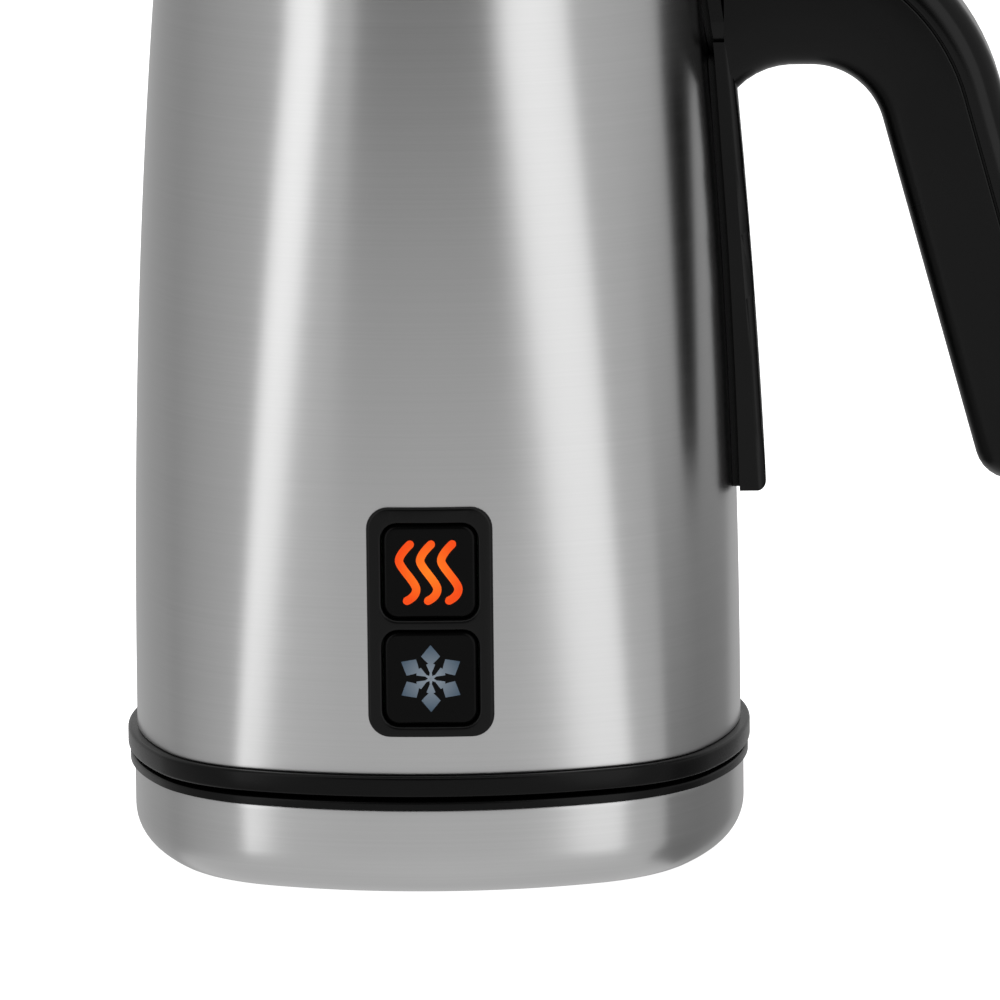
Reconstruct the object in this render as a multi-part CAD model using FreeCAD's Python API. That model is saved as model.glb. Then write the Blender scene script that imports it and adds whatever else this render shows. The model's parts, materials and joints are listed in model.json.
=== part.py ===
import FreeCAD, Part
import math
import os
from FreeCAD import Vector

# Milk frother: a rounded-square powered stand, a steel jug that lifts off it, a lid and a whisk.
# Millimetres.  +Z is up, +X points to the handle, -Y is the side with the two buttons.
# The origin is on the jug's upright axis, at the surface that the rubber feet stand on.

# ---------------------------------------------------------------- driving dimensions
# Stand
foot_height = 1.0
foot_radius = 5.0
foot_place = 28.0
base_half = 52.46
base_square = 0.41
base_height = 15.36
base_edge = 7.4
base_wall = 0.8
base_opening_half = 31.0
base_hem = 0.3
boss_wall = 2.2
boss_roof = 1.5
plate_overlap = 3.0
plate_thick = 2.4
lip_proud = 0.79
lip_height = 1.5
lip_edge = 0.4
seat_skirt = 4.4
seat_wall = 1.6
seat_gap = 0.15
land_inset = 3.96
parting_gap = 0.8
stand_screw_place = 17.0
inlet_height = 8.4
inlet_bore = 3.4
inlet_neck = 4.8
inlet_flange = 5.8
clamp_width = 18.0
clamp_depth = 6.0
clamp_height = 5.0
clamp_place = 26.0
clamp_hole = 1.2
clamp_hole_edge = 2.6

# Power connector, round, so that the jug goes down on it at any angle
tower_radius = 11.0
tower_rise = 11.5
tower_flange = 15.0
tower_flange_thick = 2.0
tower_edge = 0.8
slot_inner = 5.6
slot_outer = 7.8
slot_depth = 9.0
pin_radius = 1.8
pin_play = 0.6
sleeve_inner = 6.5
sleeve_wall = 0.6
strip_wall = 0.4
contact_drop = 1.5
cup_thick = 0.8
well_play = 1.0
well_wall = 1.8
socket_thick = 4.5
socket_roof = 1.0
socket_lift = 2.0

# Jug body
ring_proud = 1.6
ring_square = 0.445
ring_height = 3.5
ring_edge = 0.5
ring_opening_half = 46.0
upstand_rise = 7.8
upstand_wall = 2.2
cover_thick = 2.04
cover_screw_place = 32.0
cover_boss = 8.0
cover_post = 3.0
cover_post_x = 28.0
cover_post_y = 18.0
jug_foot_half = 52.0
jug_neck_half = 46.36
jug_rim_half = 48.8
jug_square = 0.475
jug_round_z = 146.0
jug_neck_z = 158.0
jug_rim_z = 170.0
jug_wall = 0.8
taper_power = 2.2
spout_reach = 9.0
spout_tip = 7.0
spout_start = 155.0
spout_power = 1.2
flare_power = 1.6

# Inner pot and what heats it
pot_radius = 44.0
pot_wall = 1.0
pot_floor_z = 75.0
pot_corner = 9.0
pot_flange_z = 149.0
pot_flange_thick = 1.2
seal_height = 3.0
heat_plate_outer = 38.0
heat_plate_inner = 17.0
heat_plate_thick = 2.2
heater_radius = 29.0
heater_tube = 3.0
heater_gap_deg = 30.0
probe_radius = 2.5
probe_place = 22.0
fuse_radius = 2.0
fuse_length = 10.0
lead_gap = 0.5
probe_seat = 2.5

# Motor and magnetic drive
motor_radius = 14.0
motor_height = 16.0
motor_nose = 4.0
motor_edge = 1.5
motor_screw_bite = 5.0
bracket_thick = 1.5
bracket_z = 62.0
post_radius = 2.5
post_place = 35.0
shaft_radius = 1.5
running_play = 0.05
shaft_bite = 2.0
carrier_radius = 15.0
carrier_height = 7.0
carrier_gap = 1.0
magnet_radius = 4.0
magnet_height = 4.0
magnet_place = 9.0

# Whisk
whisk_pin_radius = 1.5
whisk_pin_rise = 9.0
whisk_pin_foot = 4.0
whisk_pin_foot_thick = 1.0
whisk_lift = 0.3
whisk_disc = 12.6
whisk_disc_thick = 3.2
whisk_hub = 5.0
whisk_hub_rise = 13.0
coil_radius = 15.0
coil_tube = 2.2
whisk_magnet = 3.0
whisk_magnet_place = 8.4
whisk_magnet_low = 0.5
whisk_magnet_thick = 2.0
whisk_edge = 0.8
whisk_hub_edge = 1.5
whisk_bore_head = 0.5

# Button panel
bezel_width = 21.2
bezel_tall = 39.0
bezel_corner = 3.7
bezel_z = 48.3
bezel_proud = 0.7
bezel_lap = 1.0
bezel_back = 47.8
button_width = 15.8
button_tall = 15.9
button_corner = 2.5
button_pitch = 18.1
button_drop = 0.45
button_proud = 0.3
button_play = 0.2
button_flange = 0.8
button_flange_thick = 1.2
button_back_gap = 0.3
button_travel = 0.8
board_y = 40.0
board_half = 14.0
board_low = 28.0
board_high = 68.0
board_thick = 1.6
rail_width = 3.0
rail_front = 1.5
rail_back = 3.0
stem_radius = 2.0
stem_length = 0.5
switch_half = 3.0
switch_thick = 3.5
switch_stem_radius = 1.6
switch_play = 0.3
lamp_near = 4.5
lamp_far = 7.5
lamp_half_height = 1.2
lamp_thick = 1.4

# Power board under the motor
power_board_gap = 1.6
power_board_x = 33.0
power_board_y = 23.0

# Handle
handle_half = 10.5
handle_edge = 4.5
handle_wall = 2.4
handle_lean = 15.2
grip_reach = 84.1
grip_reach_z = 100.0
grip_depth = 20.9
grip_foot_z = 60.6
grip_foot_round = 7.0
arm_under_z = 135.75
arm_top_z = 162.3
arm_inner_bend = 12.6
arm_outer_bend = 41.0
arm_level = 3.1
arm_root_bend = 13.3
arm_root_turn = 60.0
cover_depth = 6.5
seam_gap = 0.25
spine_foot_z = 63.0
spine_foot_proud = 5.1
spine_edge = 1.6
pad_thick = 1.3
pad_inset = 0.5
saddle_top_z = 163.0
saddle_corner = 8.0
saddle_proud = 3.5
handle_screw_z = (74.0, 104.0, 142.0)
handle_screw_radius = 1.8
post_reach = 18.0
tie_radius = 3.0

# Lid
lid_flange_thick = 2.4
lid_dome = 3.6
lid_skirt_play = 0.3
lid_skirt_wall = 1.8
lid_skirt_drop = 10.0
lid_seal_height = 3.0
lid_seal_play = 0.35
knob_radius = 10.0
knob_neck = 6.0
knob_height = 14.0
knob_foot_flare = 1.0
knob_foot_thick = 1.5
knob_edge = 2.0
lid_edge = 1.0
lid_seal_edge = 0.6
lid_seal_groove = 0.8
lid_seal_low = 2.0
dome_inset = 4.0

# Screws
screw_radius = 1.4
screw_head = 2.7
screw_head_thick = 1.5
screw_play = 0.1
screw_slot = 0.4
flat_head_radius = 3.2
flat_head_thick = 1.3

# How far a cutter runs past what it cuts, and one shape into the next of the same solid
over = 1.0

# ---------------------------------------------------------------- derived widths and heights
lip_half = base_half + lip_proud
land_half = base_half - land_inset
ring_half = jug_foot_half + ring_proud
lid_skirt_radius = jug_neck_half - jug_wall - lid_skirt_play
base_z = foot_height
pan_top_z = base_z + base_height
lip_top_z = pan_top_z + lip_height
jug_z = lip_top_z + parting_gap
shell_z = jug_z + ring_height
cover_top_z = shell_z + cover_thick
tower_top_z = jug_z + tower_rise
well_top_z = tower_top_z + well_play
pot_under_z = pot_floor_z - pot_wall
heat_under_z = pot_under_z - heat_plate_thick
bracket_top_z = bracket_z + bracket_thick
carrier_top_z = pot_under_z - carrier_gap
carrier_z = carrier_top_z - carrier_height
power_board_z = well_top_z + socket_thick + power_board_gap
whisk_z = pot_floor_z + whisk_pin_foot_thick + whisk_lift
well_radius = tower_radius + well_play
button_back_y = -bezel_back + button_back_gap
button_tip_y = button_back_y + button_flange_thick + stem_length

# Junction angle between a side arc and a corner arc: the same for the whole family of sections
JOIN = math.acos(0.5 / math.sqrt(2)) - math.pi / 4


# ---------------------------------------------------------------- small helpers
def squircle(half, square, grow, z):
    """Rounded square of four shallow side arcs and four corner arcs, grown outwards by grow."""
    side = half * (1 + square) + grow
    corner = half * (1 - square) + grow
    side_centre = half * square
    corner_centre = 2 * half * square * math.sin(JOIN)
    edges = []
    for turn in range(4):
        spin = turn * math.pi / 2

        def place(cx, cy, radius, angle):
            x = cx + radius * math.cos(angle)
            y = cy + radius * math.sin(angle)
            return Vector(x * math.cos(spin) - y * math.sin(spin),
                          x * math.sin(spin) + y * math.cos(spin), z)

        side_arc = [place(-side_centre, 0, side, angle) for angle in (-JOIN, 0, JOIN)]
        corner_arc = [place(corner_centre, corner_centre, corner, angle)
                      for angle in (JOIN, math.pi / 4, math.pi / 2 - JOIN)]
        edges.append(Part.Arc(*side_arc).toShape())
        edges.append(Part.Arc(*corner_arc).toShape())
    return Part.Wire(edges)


def slab(half, square, z0, z1, grow=0.0):
    """Flat plate with the rounded-square outline, from z0 to z1."""
    return Part.Face(squircle(half, square, grow, z0)).extrude(Vector(0, 0, z1 - z0))


def rod(radius, z0, z1, x=0.0, y=0.0):
    """Upright cylinder."""
    return Part.makeCylinder(radius, z1 - z0, Vector(x, y, z0))


def rod_y(radius, y0, y1, x, z):
    """Cylinder along Y."""
    return Part.makeCylinder(radius, y1 - y0, Vector(x, y0, z), Vector(0, 1, 0))


def rod_x(radius, x0, x1, y, z):
    """Cylinder along X."""
    return Part.makeCylinder(radius, x1 - x0, Vector(x0, y, z), Vector(1, 0, 0))


def tube(outer, inner, z0, z1, x=0.0, y=0.0):
    """Upright pipe."""
    return rod(outer, z0, z1, x, y).cut(rod(inner, z0 - over, z1 + over, x, y))


def block(x0, x1, y0, y1, z0, z1):
    """Box between two corners."""
    return Part.makeBox(x1 - x0, y1 - y0, z1 - z0, Vector(x0, y0, z0))


def window(width, tall, corner, z, y0, y1):
    """Block along Y with its four long edges rounded, centred on x = 0 and on height z."""
    shape = block(-width / 2, width / 2, y0, y1, z - tall / 2, z + tall / 2)
    long_edges = [edge for edge in shape.Edges if edge.BoundBox.YLength > (y1 - y0) / 2]
    return shape.makeFillet(corner, long_edges)


def corners(place):
    """The four points of a square pattern."""
    return [(x, y) for x in (-place, place) for y in (-place, place)]


def around(count, radius, start=0.0):
    """Points spaced evenly round a circle."""
    angles = [math.radians(start) + 2 * math.pi * index / count for index in range(count)]
    return [(radius * math.cos(angle), radius * math.sin(angle)) for angle in angles]


def screw(x, y, z, length, up=1):
    """Upright screw whose head rests at height z and whose shank goes up (1) or down (-1)."""
    way = Vector(0, 0, up)
    head = Part.makeCylinder(screw_head, screw_head_thick, Vector(x, y, z), way * -1)
    shank = Part.makeCylinder(screw_radius, length, Vector(x, y, z), way)
    slot = block(x - screw_head, x + screw_head, y - screw_slot, y + screw_slot,
                 z - up * screw_head_thick - 0.5, z - up * screw_head_thick + 0.5)
    return head.fuse(shank).cut(slot)


def fuse_all(shapes):
    """One solid out of several that touch."""
    return shapes[0].multiFuse(shapes[1:]).removeSplitter()


def group(shapes):
    """Several separate solids kept in one node."""
    return Part.makeCompound(shapes)


# ---------------------------------------------------------------- the jug's outer form
def jug_half(z):
    """Half-width of the jug at height z: it narrows to the neck, then opens to the rim."""
    if z <= jug_neck_z:
        share = (z - shell_z) / (jug_neck_z - shell_z)
        return jug_foot_half - (jug_foot_half - jug_neck_half) * max(share, 0.0) ** taper_power
    share = (z - jug_neck_z) / (jug_rim_z - jug_neck_z)
    return jug_neck_half + (jug_rim_half - jug_neck_half) * share ** flare_power


def jug_squareness(z):
    """The section is a rounded square at the foot and a circle from just below the neck."""
    share = min(max((z - shell_z) / (jug_round_z - shell_z), 0.0), 1.0)
    return jug_square * (1 - share)


def jug_form(grow):
    """Solid bounded by the jug's outer surface, grown by grow."""
    lower = [shell_z + (jug_neck_z - shell_z) * index / 9 for index in range(10)]
    upper = [jug_neck_z + (jug_rim_z - jug_neck_z) * index / 3 for index in range(1, 4)]
    sections = [squircle(jug_half(z), jug_squareness(z), grow, z) for z in lower + upper]
    return Part.makeLoft(sections, True, False)


def spout_form(grow):
    """Pouring beak: the hull of the mouth circle and a tip circle that moves out as it rises."""
    sections = []
    for share in (0.0, 0.35, 0.7, 1.0):
        z = spout_start + (jug_rim_z - spout_start) * share
        mouth = jug_half(z) + grow - 0.3
        tip = spout_tip + grow
        reach = jug_half(z) - spout_tip + spout_reach * share ** spout_power
        angle = math.acos((mouth - tip) / reach)

        def at(cx, radius, turn):
            return Vector(cx + radius * math.cos(turn), radius * math.sin(turn), z)

        west = math.pi
        tip_points = [at(-reach, tip, west + side * angle) for side in (-1, 0, 1)]
        tip_arc = Part.Arc(*tip_points)
        back_arc = Part.Arc(at(0, mouth, west + angle), at(0, mouth, 0), at(0, mouth, west - angle))
        edges = [tip_arc.toShape(),
                 Part.LineSegment(tip_points[2], at(0, mouth, west + angle)).toShape(),
                 back_arc.toShape(),
                 Part.LineSegment(at(0, mouth, west - angle), tip_points[0]).toShape()]
        sections.append(Part.Wire(edges))
    return Part.makeLoft(sections, True, False)


# ---------------------------------------------------------------- stand
def base_body():
    """Outer form of the steel pan, used whole to trim what lies against it."""
    body = slab(base_half, base_square, base_z, pan_top_z)
    low_edges = [edge for edge in body.Edges if edge.BoundBox.ZMax < base_z + 0.01]
    return body.makeFillet(base_edge, low_edges)


def base_shell():
    body = base_body()
    top_edges = [edge for edge in body.Edges if edge.BoundBox.ZMin > pan_top_z - 0.01]
    body = body.makeFillet(base_hem, top_edges)
    inside = slab(base_half, base_square, base_z + base_wall, pan_top_z + over, -base_wall)
    low_edges = [edge for edge in inside.Edges if edge.BoundBox.ZMax < base_z + base_wall + 0.01]
    inside = inside.makeFillet(base_edge - base_wall, low_edges)
    opening = slab(base_opening_half, base_square, base_z - over, base_z + 2)
    inlet = rod_y(inlet_neck + screw_play, 0, base_half + 2, 0, base_z + inlet_height)
    return body.cut(inside).cut(opening).cut(inlet)


def base_bottom_plate():
    low = base_z + base_wall
    plate = slab(base_opening_half + plate_overlap, base_square, low, low + plate_thick)
    for x, y in corners(stand_screw_place):
        plate = plate.cut(rod(screw_radius + screw_play, low - over, low + plate_thick + over, x, y))
        plate = plate.cut(rod(screw_head + screw_play, low - over, low + screw_head_thick, x, y))
    return plate


def base_seat():
    """Black top of the stand: outer lip, raised land for the jug, skirt and screw bosses."""
    lip = slab(lip_half, base_square, pan_top_z, lip_top_z)
    rim_edges = [edge for edge in lip.Edges if edge.BoundBox.ZMin > lip_top_z - 0.01]
    lip = lip.makeFillet(lip_edge, rim_edges)
    land = slab(land_half, base_square, pan_top_z, jug_z)
    skirt_grow = -base_wall - seat_gap
    skirt = slab(base_half, base_square, pan_top_z - seat_skirt, pan_top_z, skirt_grow)
    skirt = skirt.cut(slab(base_half, base_square, pan_top_z - seat_skirt - over, pan_top_z + over,
                           skirt_grow - seat_wall))
    skirt = skirt.cut(rod_y(inlet_flange + 1, 0, base_half + 2, 0, base_z + inlet_height))
    plate_top = base_z + base_wall + plate_thick
    bosses = [rod(screw_radius + boss_wall, plate_top, pan_top_z, x, y)
              for x, y in corners(stand_screw_place)]
    seat = fuse_all([lip, land, skirt] + bosses)
    for x, y in corners(stand_screw_place):
        seat = seat.cut(rod(screw_radius + screw_play, plate_top - over, pan_top_z - boss_roof, x, y))
    return seat.cut(rod(tower_radius + seat_gap, pan_top_z - over, jug_z + over))


def rubber_feet():
    return group([rod(foot_radius, 0, foot_height, x, y) for x, y in corners(foot_place)])


def base_screws():
    head_z = base_z + base_wall + screw_head_thick
    length = pan_top_z - boss_roof - 1 - head_z
    return group([screw(x, y, head_z, length) for x, y in corners(stand_screw_place)])


def plug_tower():
    """Insulating tower on the stand, with a ring slot and a centre hole for the jug's contacts."""
    body = rod(tower_radius, pan_top_z - tower_flange_thick, tower_top_z)
    top_edges = [edge for edge in body.Edges if edge.BoundBox.ZMin > tower_top_z - 0.01]
    body = body.makeFillet(tower_edge, top_edges)
    flange = rod(tower_flange, pan_top_z - tower_flange_thick, pan_top_z)
    slot = tube(slot_outer, slot_inner, tower_top_z - slot_depth, tower_top_z + over)
    hole = rod(pin_radius + pin_play, tower_top_z - slot_depth, tower_top_z + over)
    return body.fuse(flange).cut(slot).cut(hole).removeSplitter()


def plug_contacts():
    """Sprung contacts of the stand: a ring on the slot's inner wall and a cup at the hole's foot."""
    floor = tower_top_z - slot_depth
    ring = tube(slot_inner + strip_wall, slot_inner, floor, tower_top_z - contact_drop)
    cup = rod(pin_radius, floor, floor + cup_thick)
    return group([ring, cup])


def cord_inlet_bush():
    """Bush that lines the hole for the mains lead in the back of the stand."""
    height = base_z + inlet_height
    flange = rod_y(inlet_flange, base_half - 2, base_half + 1.2, 0, height).cut(base_body())
    neck = rod_y(inlet_neck, base_half - 5, base_half + 1.2, 0, height)
    inside = slab(base_half, base_square, base_z, pan_top_z, -base_edge / 2)
    keeper = rod_y(inlet_flange, base_half - 5, base_half, 0, height).common(inside)
    bush = fuse_all([flange, neck, keeper])
    return bush.cut(rod_y(inlet_bore, base_half - 10, base_half + 5, 0, height))


def cord_clamp():
    """Bridge that holds the mains lead down on the bottom plate, with its two screws' holes."""
    low = base_z + base_wall + plate_thick
    bar = block(-clamp_width / 2, clamp_width / 2, clamp_place - clamp_depth / 2,
                clamp_place + clamp_depth / 2, low, low + clamp_height)
    bar = bar.cut(rod_y(inlet_bore, clamp_place - clamp_depth, clamp_place + clamp_depth, 0, low))
    for side in (-1, 1):
        x = side * (clamp_width / 2 - clamp_hole_edge)
        bar = bar.cut(rod(clamp_hole, low - over, low + clamp_height + over, x, clamp_place))
    return bar


# ---------------------------------------------------------------- jug body
def jug_shell():
    """Brushed steel wall with its pouring beak and the hole for the button panel."""
    outer = jug_form(0).fuse(spout_form(0))
    inner = jug_form(-jug_wall).fuse(spout_form(-jug_wall))
    shell = outer.cut(inner)
    opening = window(bezel_width - 2 * bezel_lap, bezel_tall - 2 * bezel_lap, bezel_corner - bezel_lap,
                     bezel_z, -jug_foot_half - 3, -jug_foot_half / 2)
    shell = shell.cut(opening)
    for z in handle_screw_z:
        shell = shell.cut(rod_x(handle_screw_radius + screw_play, jug_half(z) - 5, jug_half(z) + 5, 0, z))
    return shell


def jug_ring():
    """Black ring under the shell, with an upstand inside the wall and four screw bosses."""
    band = slab(ring_half, ring_square, jug_z, shell_z)
    rim_edges = [edge for edge in band.Edges if edge.BoundBox.ZLength < 0.01]
    band = band.makeFillet(ring_edge, rim_edges)
    upstand = slab(jug_foot_half, jug_square, shell_z, shell_z + upstand_rise, -jug_wall - seat_gap)
    upstand = upstand.common(jug_form(-jug_wall - seat_gap))
    core = slab(jug_foot_half, jug_square, shell_z - over, shell_z + upstand_rise + over,
                -jug_wall - seat_gap - upstand_wall)
    whole = upstand.copy()
    upstand = upstand.cut(core)
    bosses = [rod(cover_boss, cover_top_z, shell_z + upstand_rise, x, y).common(whole)
              for x, y in corners(cover_screw_place + 1)]
    band = band.cut(slab(ring_opening_half, jug_square, jug_z - over, shell_z + over))
    ring = fuse_all([band, upstand] + bosses)
    boss_top = shell_z + upstand_rise - over
    for x, y in corners(cover_screw_place):
        ring = ring.cut(rod(screw_radius + screw_play, cover_top_z - over, boss_top, x, y))
    notch = window(bezel_width, bezel_tall, bezel_corner, bezel_z, -jug_foot_half - 3, -jug_foot_half / 2)
    return ring.cut(notch)


def jug_bottom_cover():
    """Plate that closes the jug from below, with the connector's well and the boards' supports."""
    plate = slab(jug_foot_half, jug_square, shell_z, cover_top_z, -jug_wall - 2 * seat_gap - upstand_wall)
    well = rod(well_radius + well_wall, shell_z, well_top_z)
    posts = [rod(cover_post, cover_top_z, power_board_z, x, y)
             for x in (-cover_post_x, cover_post_x) for y in (-cover_post_y, cover_post_y)]
    rails = [block(min(side * board_half, side * (board_half + rail_width)),
                   max(side * board_half, side * (board_half + rail_width)),
                   -board_y - rail_front, -board_y + rail_back, cover_top_z, board_high - 2)
             for side in (-1, 1)]
    cover = fuse_all([plate, well] + posts + rails).cut(rod(well_radius, shell_z - over, well_top_z + over))
    for x, y in corners(cover_screw_place):
        cover = cover.cut(rod(screw_radius + screw_play, shell_z - over, cover_top_z + over, x, y))
    return cover


def cover_screws():
    length = upstand_rise - 1.5
    return group([screw(x, y, shell_z, length) for x, y in corners(cover_screw_place)])


def socket_block():
    """Insulating block that roofs the connector's well and carries the jug's two contacts."""
    body = rod(well_radius + well_wall, well_top_z, well_top_z + socket_thick)
    roof = well_top_z + socket_thick - socket_roof
    body = body.cut(rod(pin_radius, well_top_z - over, roof))
    return body.cut(tube(sleeve_inner + sleeve_wall, sleeve_inner, well_top_z - over, roof))


def socket_contacts():
    """Centre pin and sleeve that reach down into the stand's tower."""
    low = tower_top_z - slot_depth + socket_lift
    high = well_top_z + socket_thick - socket_roof
    pin = rod(pin_radius, low, high)
    sleeve = tube(sleeve_inner + sleeve_wall, sleeve_inner, low, high)
    return group([pin, sleeve])


def inner_pot():
    """Coated pot with a flange that reaches the steel wall below the spout."""
    outer = rod(pot_radius, pot_under_z, pot_flange_z + pot_flange_thick)
    outer = outer.makeFillet(pot_corner, [e for e in outer.Edges if e.BoundBox.ZMax < pot_under_z + 0.01])
    inner = rod(pot_radius - pot_wall, pot_floor_z, pot_flange_z + pot_flange_thick + over)
    inner = inner.makeFillet(pot_corner - pot_wall,
                             [e for e in inner.Edges if e.BoundBox.ZMax < pot_floor_z + 0.01])
    disc = rod(jug_foot_half, pot_flange_z, pot_flange_z + pot_flange_thick)
    flange = disc.common(jug_form(-jug_wall - running_play))
    pot = outer.fuse(flange).removeSplitter().cut(inner)
    return pot.cut(rod(whisk_pin_radius, pot_under_z - over, pot_floor_z + over))


def pot_seal():
    """Soft ring under the pot's flange, between the pot and the steel wall."""
    disc = rod(jug_foot_half, pot_flange_z - seal_height, pot_flange_z)
    ring = disc.common(jug_form(-jug_wall - running_play))
    return ring.cut(rod(pot_radius + running_play, pot_flange_z - seal_height - over, pot_flange_z + over))


def whisk_pin():
    """Steel pin that the whisk turns on, standing on a small foot on the pot's floor."""
    pin = rod(whisk_pin_radius, pot_under_z, pot_floor_z + whisk_pin_rise)
    foot = rod(whisk_pin_foot, pot_floor_z, pot_floor_z + whisk_pin_foot_thick)
    top_edges = [edge for edge in pin.Edges if edge.BoundBox.ZMin > pot_floor_z + whisk_pin_rise - 0.01]
    pin = pin.makeFillet(whisk_edge, top_edges)
    return pin.fuse(foot).removeSplitter()


def heat_plate():
    plate = tube(heat_plate_outer, heat_plate_inner, heat_under_z, pot_under_z)
    return plate.cut(rod(probe_radius + 0.3, heat_under_z - over, pot_under_z + over, 0, probe_place))


def heater_ring():
    """Tubular heater bent to most of a circle, its two cold ends turned down."""
    centre = heat_under_z - heater_tube
    sweep = 360.0 - heater_gap_deg
    start = -90.0 + heater_gap_deg / 2
    ring = Part.makeTorus(heater_radius, heater_tube, Vector(0, 0, centre), Vector(0, 0, 1), 0, 360, sweep)
    ring.rotate(Vector(0, 0, 0), Vector(0, 0, 1), start)
    pieces = [ring]
    for turn in (start, start + sweep):
        x = heater_radius * math.cos(math.radians(turn))
        y = heater_radius * math.sin(math.radians(turn))
        pieces.append(Part.makeSphere(heater_tube, Vector(x, y, centre)))
        pieces.append(rod(heater_tube * 0.6, bracket_top_z + lead_gap, centre, x, y))
    return fuse_all(pieces)


def temperature_probe():
    return rod(probe_radius, bracket_top_z + probe_seat, pot_under_z, 0, probe_place)


def thermal_fuse():
    height = heat_under_z - fuse_radius
    return rod_x(fuse_radius, -fuse_length / 2, fuse_length / 2, -probe_place, height)


def motor_bracket():
    """Plate that hangs from the heat plate on three posts and carries the motor."""
    plate = rod(heat_plate_outer, bracket_z, bracket_top_z)
    posts = [rod(post_radius, bracket_z, heat_under_z, x, y) for x, y in around(3, post_place, 30)]
    probe_boss = rod(probe_radius + 1, bracket_z, bracket_top_z + probe_seat, 0, probe_place)
    bracket = fuse_all([plate, probe_boss] + posts)
    bracket = bracket.cut(rod(motor_nose + screw_play, bracket_z - over, bracket_top_z + over))
    for x, y in around(2, magnet_place):
        bracket = bracket.cut(rod(screw_radius + screw_play, bracket_z - over, bracket_top_z + over, x, y))
    return bracket


def motor():
    can = rod(motor_radius, bracket_z - motor_height, bracket_z)
    low_edges = [edge for edge in can.Edges if edge.BoundBox.ZMax < bracket_z - motor_height + 0.01]
    can = can.makeFillet(motor_edge, low_edges)
    nose = rod(motor_nose, bracket_z - over, bracket_top_z)
    body = can.fuse(nose).removeSplitter()
    body = body.cut(rod(shaft_radius + running_play, bracket_z - motor_height / 2, bracket_top_z + over))
    for x, y in around(2, magnet_place):
        low = bracket_z - motor_screw_bite - 1
        body = body.cut(rod(screw_radius + screw_play, low, bracket_z + over, x, y))
    return body


def motor_screws():
    return group([screw(x, y, bracket_top_z, bracket_thick + motor_screw_bite, -1)
                  for x, y in around(2, magnet_place)])


def control_board():
    return block(-board_half, board_half, -board_y, -board_y + board_thick, board_low, board_high)


def button_heights():
    """Heights of the hot and the cold button's centres."""
    middle = bezel_z - button_drop
    return (middle + button_pitch / 2, middle - button_pitch / 2)


def tact_switches():
    switches = []
    for z in button_heights():
        body = block(-switch_half, switch_half, -board_y - switch_thick, -board_y,
                     z - switch_half, z + switch_half)
        stem_tip = button_tip_y + button_travel + switch_play
        stem = rod_y(switch_stem_radius, stem_tip, -board_y - switch_thick + 0.1, 0, z)
        switches.append(body.fuse(stem).removeSplitter())
    return group(switches)


def indicator_lamps():
    return group([block(lamp_near, lamp_far, -board_y - lamp_thick, -board_y,
                        z - lamp_half_height, z + lamp_half_height) for z in button_heights()])


def panel_bezel():
    """Black frame that follows the jug's curve, with a well for each button."""
    front = -jug_foot_half - 3
    frame = window(bezel_width, bezel_tall, bezel_corner, bezel_z, front, -jug_foot_half / 2)
    frame = frame.common(jug_form(bezel_proud)).cut(jug_form(0))
    neck = window(bezel_width - 2 * bezel_lap - seat_gap, bezel_tall - 2 * bezel_lap - seat_gap,
                  bezel_corner - bezel_lap, bezel_z, front, -bezel_back)
    neck = neck.common(jug_form(bezel_proud))
    bezel = frame.fuse(neck).removeSplitter()
    for z in button_heights():
        bezel = bezel.cut(window(button_width + 2 * button_play, button_tall + 2 * button_play,
                                 button_corner + button_play, z, front, -bezel_back + 5))
    return bezel


def button_cap(z):
    """Square button, its face on the jug's curve, with a flange behind the bezel and a stem."""
    back = button_back_y
    cap = window(button_width, button_tall, button_corner, z, -jug_foot_half - 3, back)
    cap = cap.common(jug_form(button_proud))
    flange = window(button_width + 2 * button_flange, button_tall + 2 * button_flange, button_corner, z,
                    back, back + button_flange_thick)
    stem = rod_y(stem_radius, back, button_tip_y, 0, z)
    return fuse_all([cap, flange, stem])


def hot_button():
    return button_cap(button_heights()[0])


def cold_button():
    return button_cap(button_heights()[1])


def power_board():
    return block(-power_board_x, power_board_x, -power_board_y, power_board_y,
                 power_board_z, power_board_z + board_thick)


def board_parts():
    """Relay, capacitor, choke and driver on the power board."""
    low = power_board_z + board_thick
    relay = block(18, 31, 6, 20, low, low + 9)
    capacitor = rod(5, low, low + 12, -24, 13)
    choke = rod(6, low, low + 7, -24, -13)
    driver = block(20, 30, -16, -11, low, low + 11)
    return group([relay, capacitor, choke, driver])


# ---------------------------------------------------------------- handle
def handle_axes():
    """Unit vectors in the XZ plane: down along the grip, and outwards across it."""
    lean = math.radians(handle_lean)
    return Vector(math.sin(lean), 0, -math.cos(lean)), Vector(math.cos(lean), 0, math.sin(lean))


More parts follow.
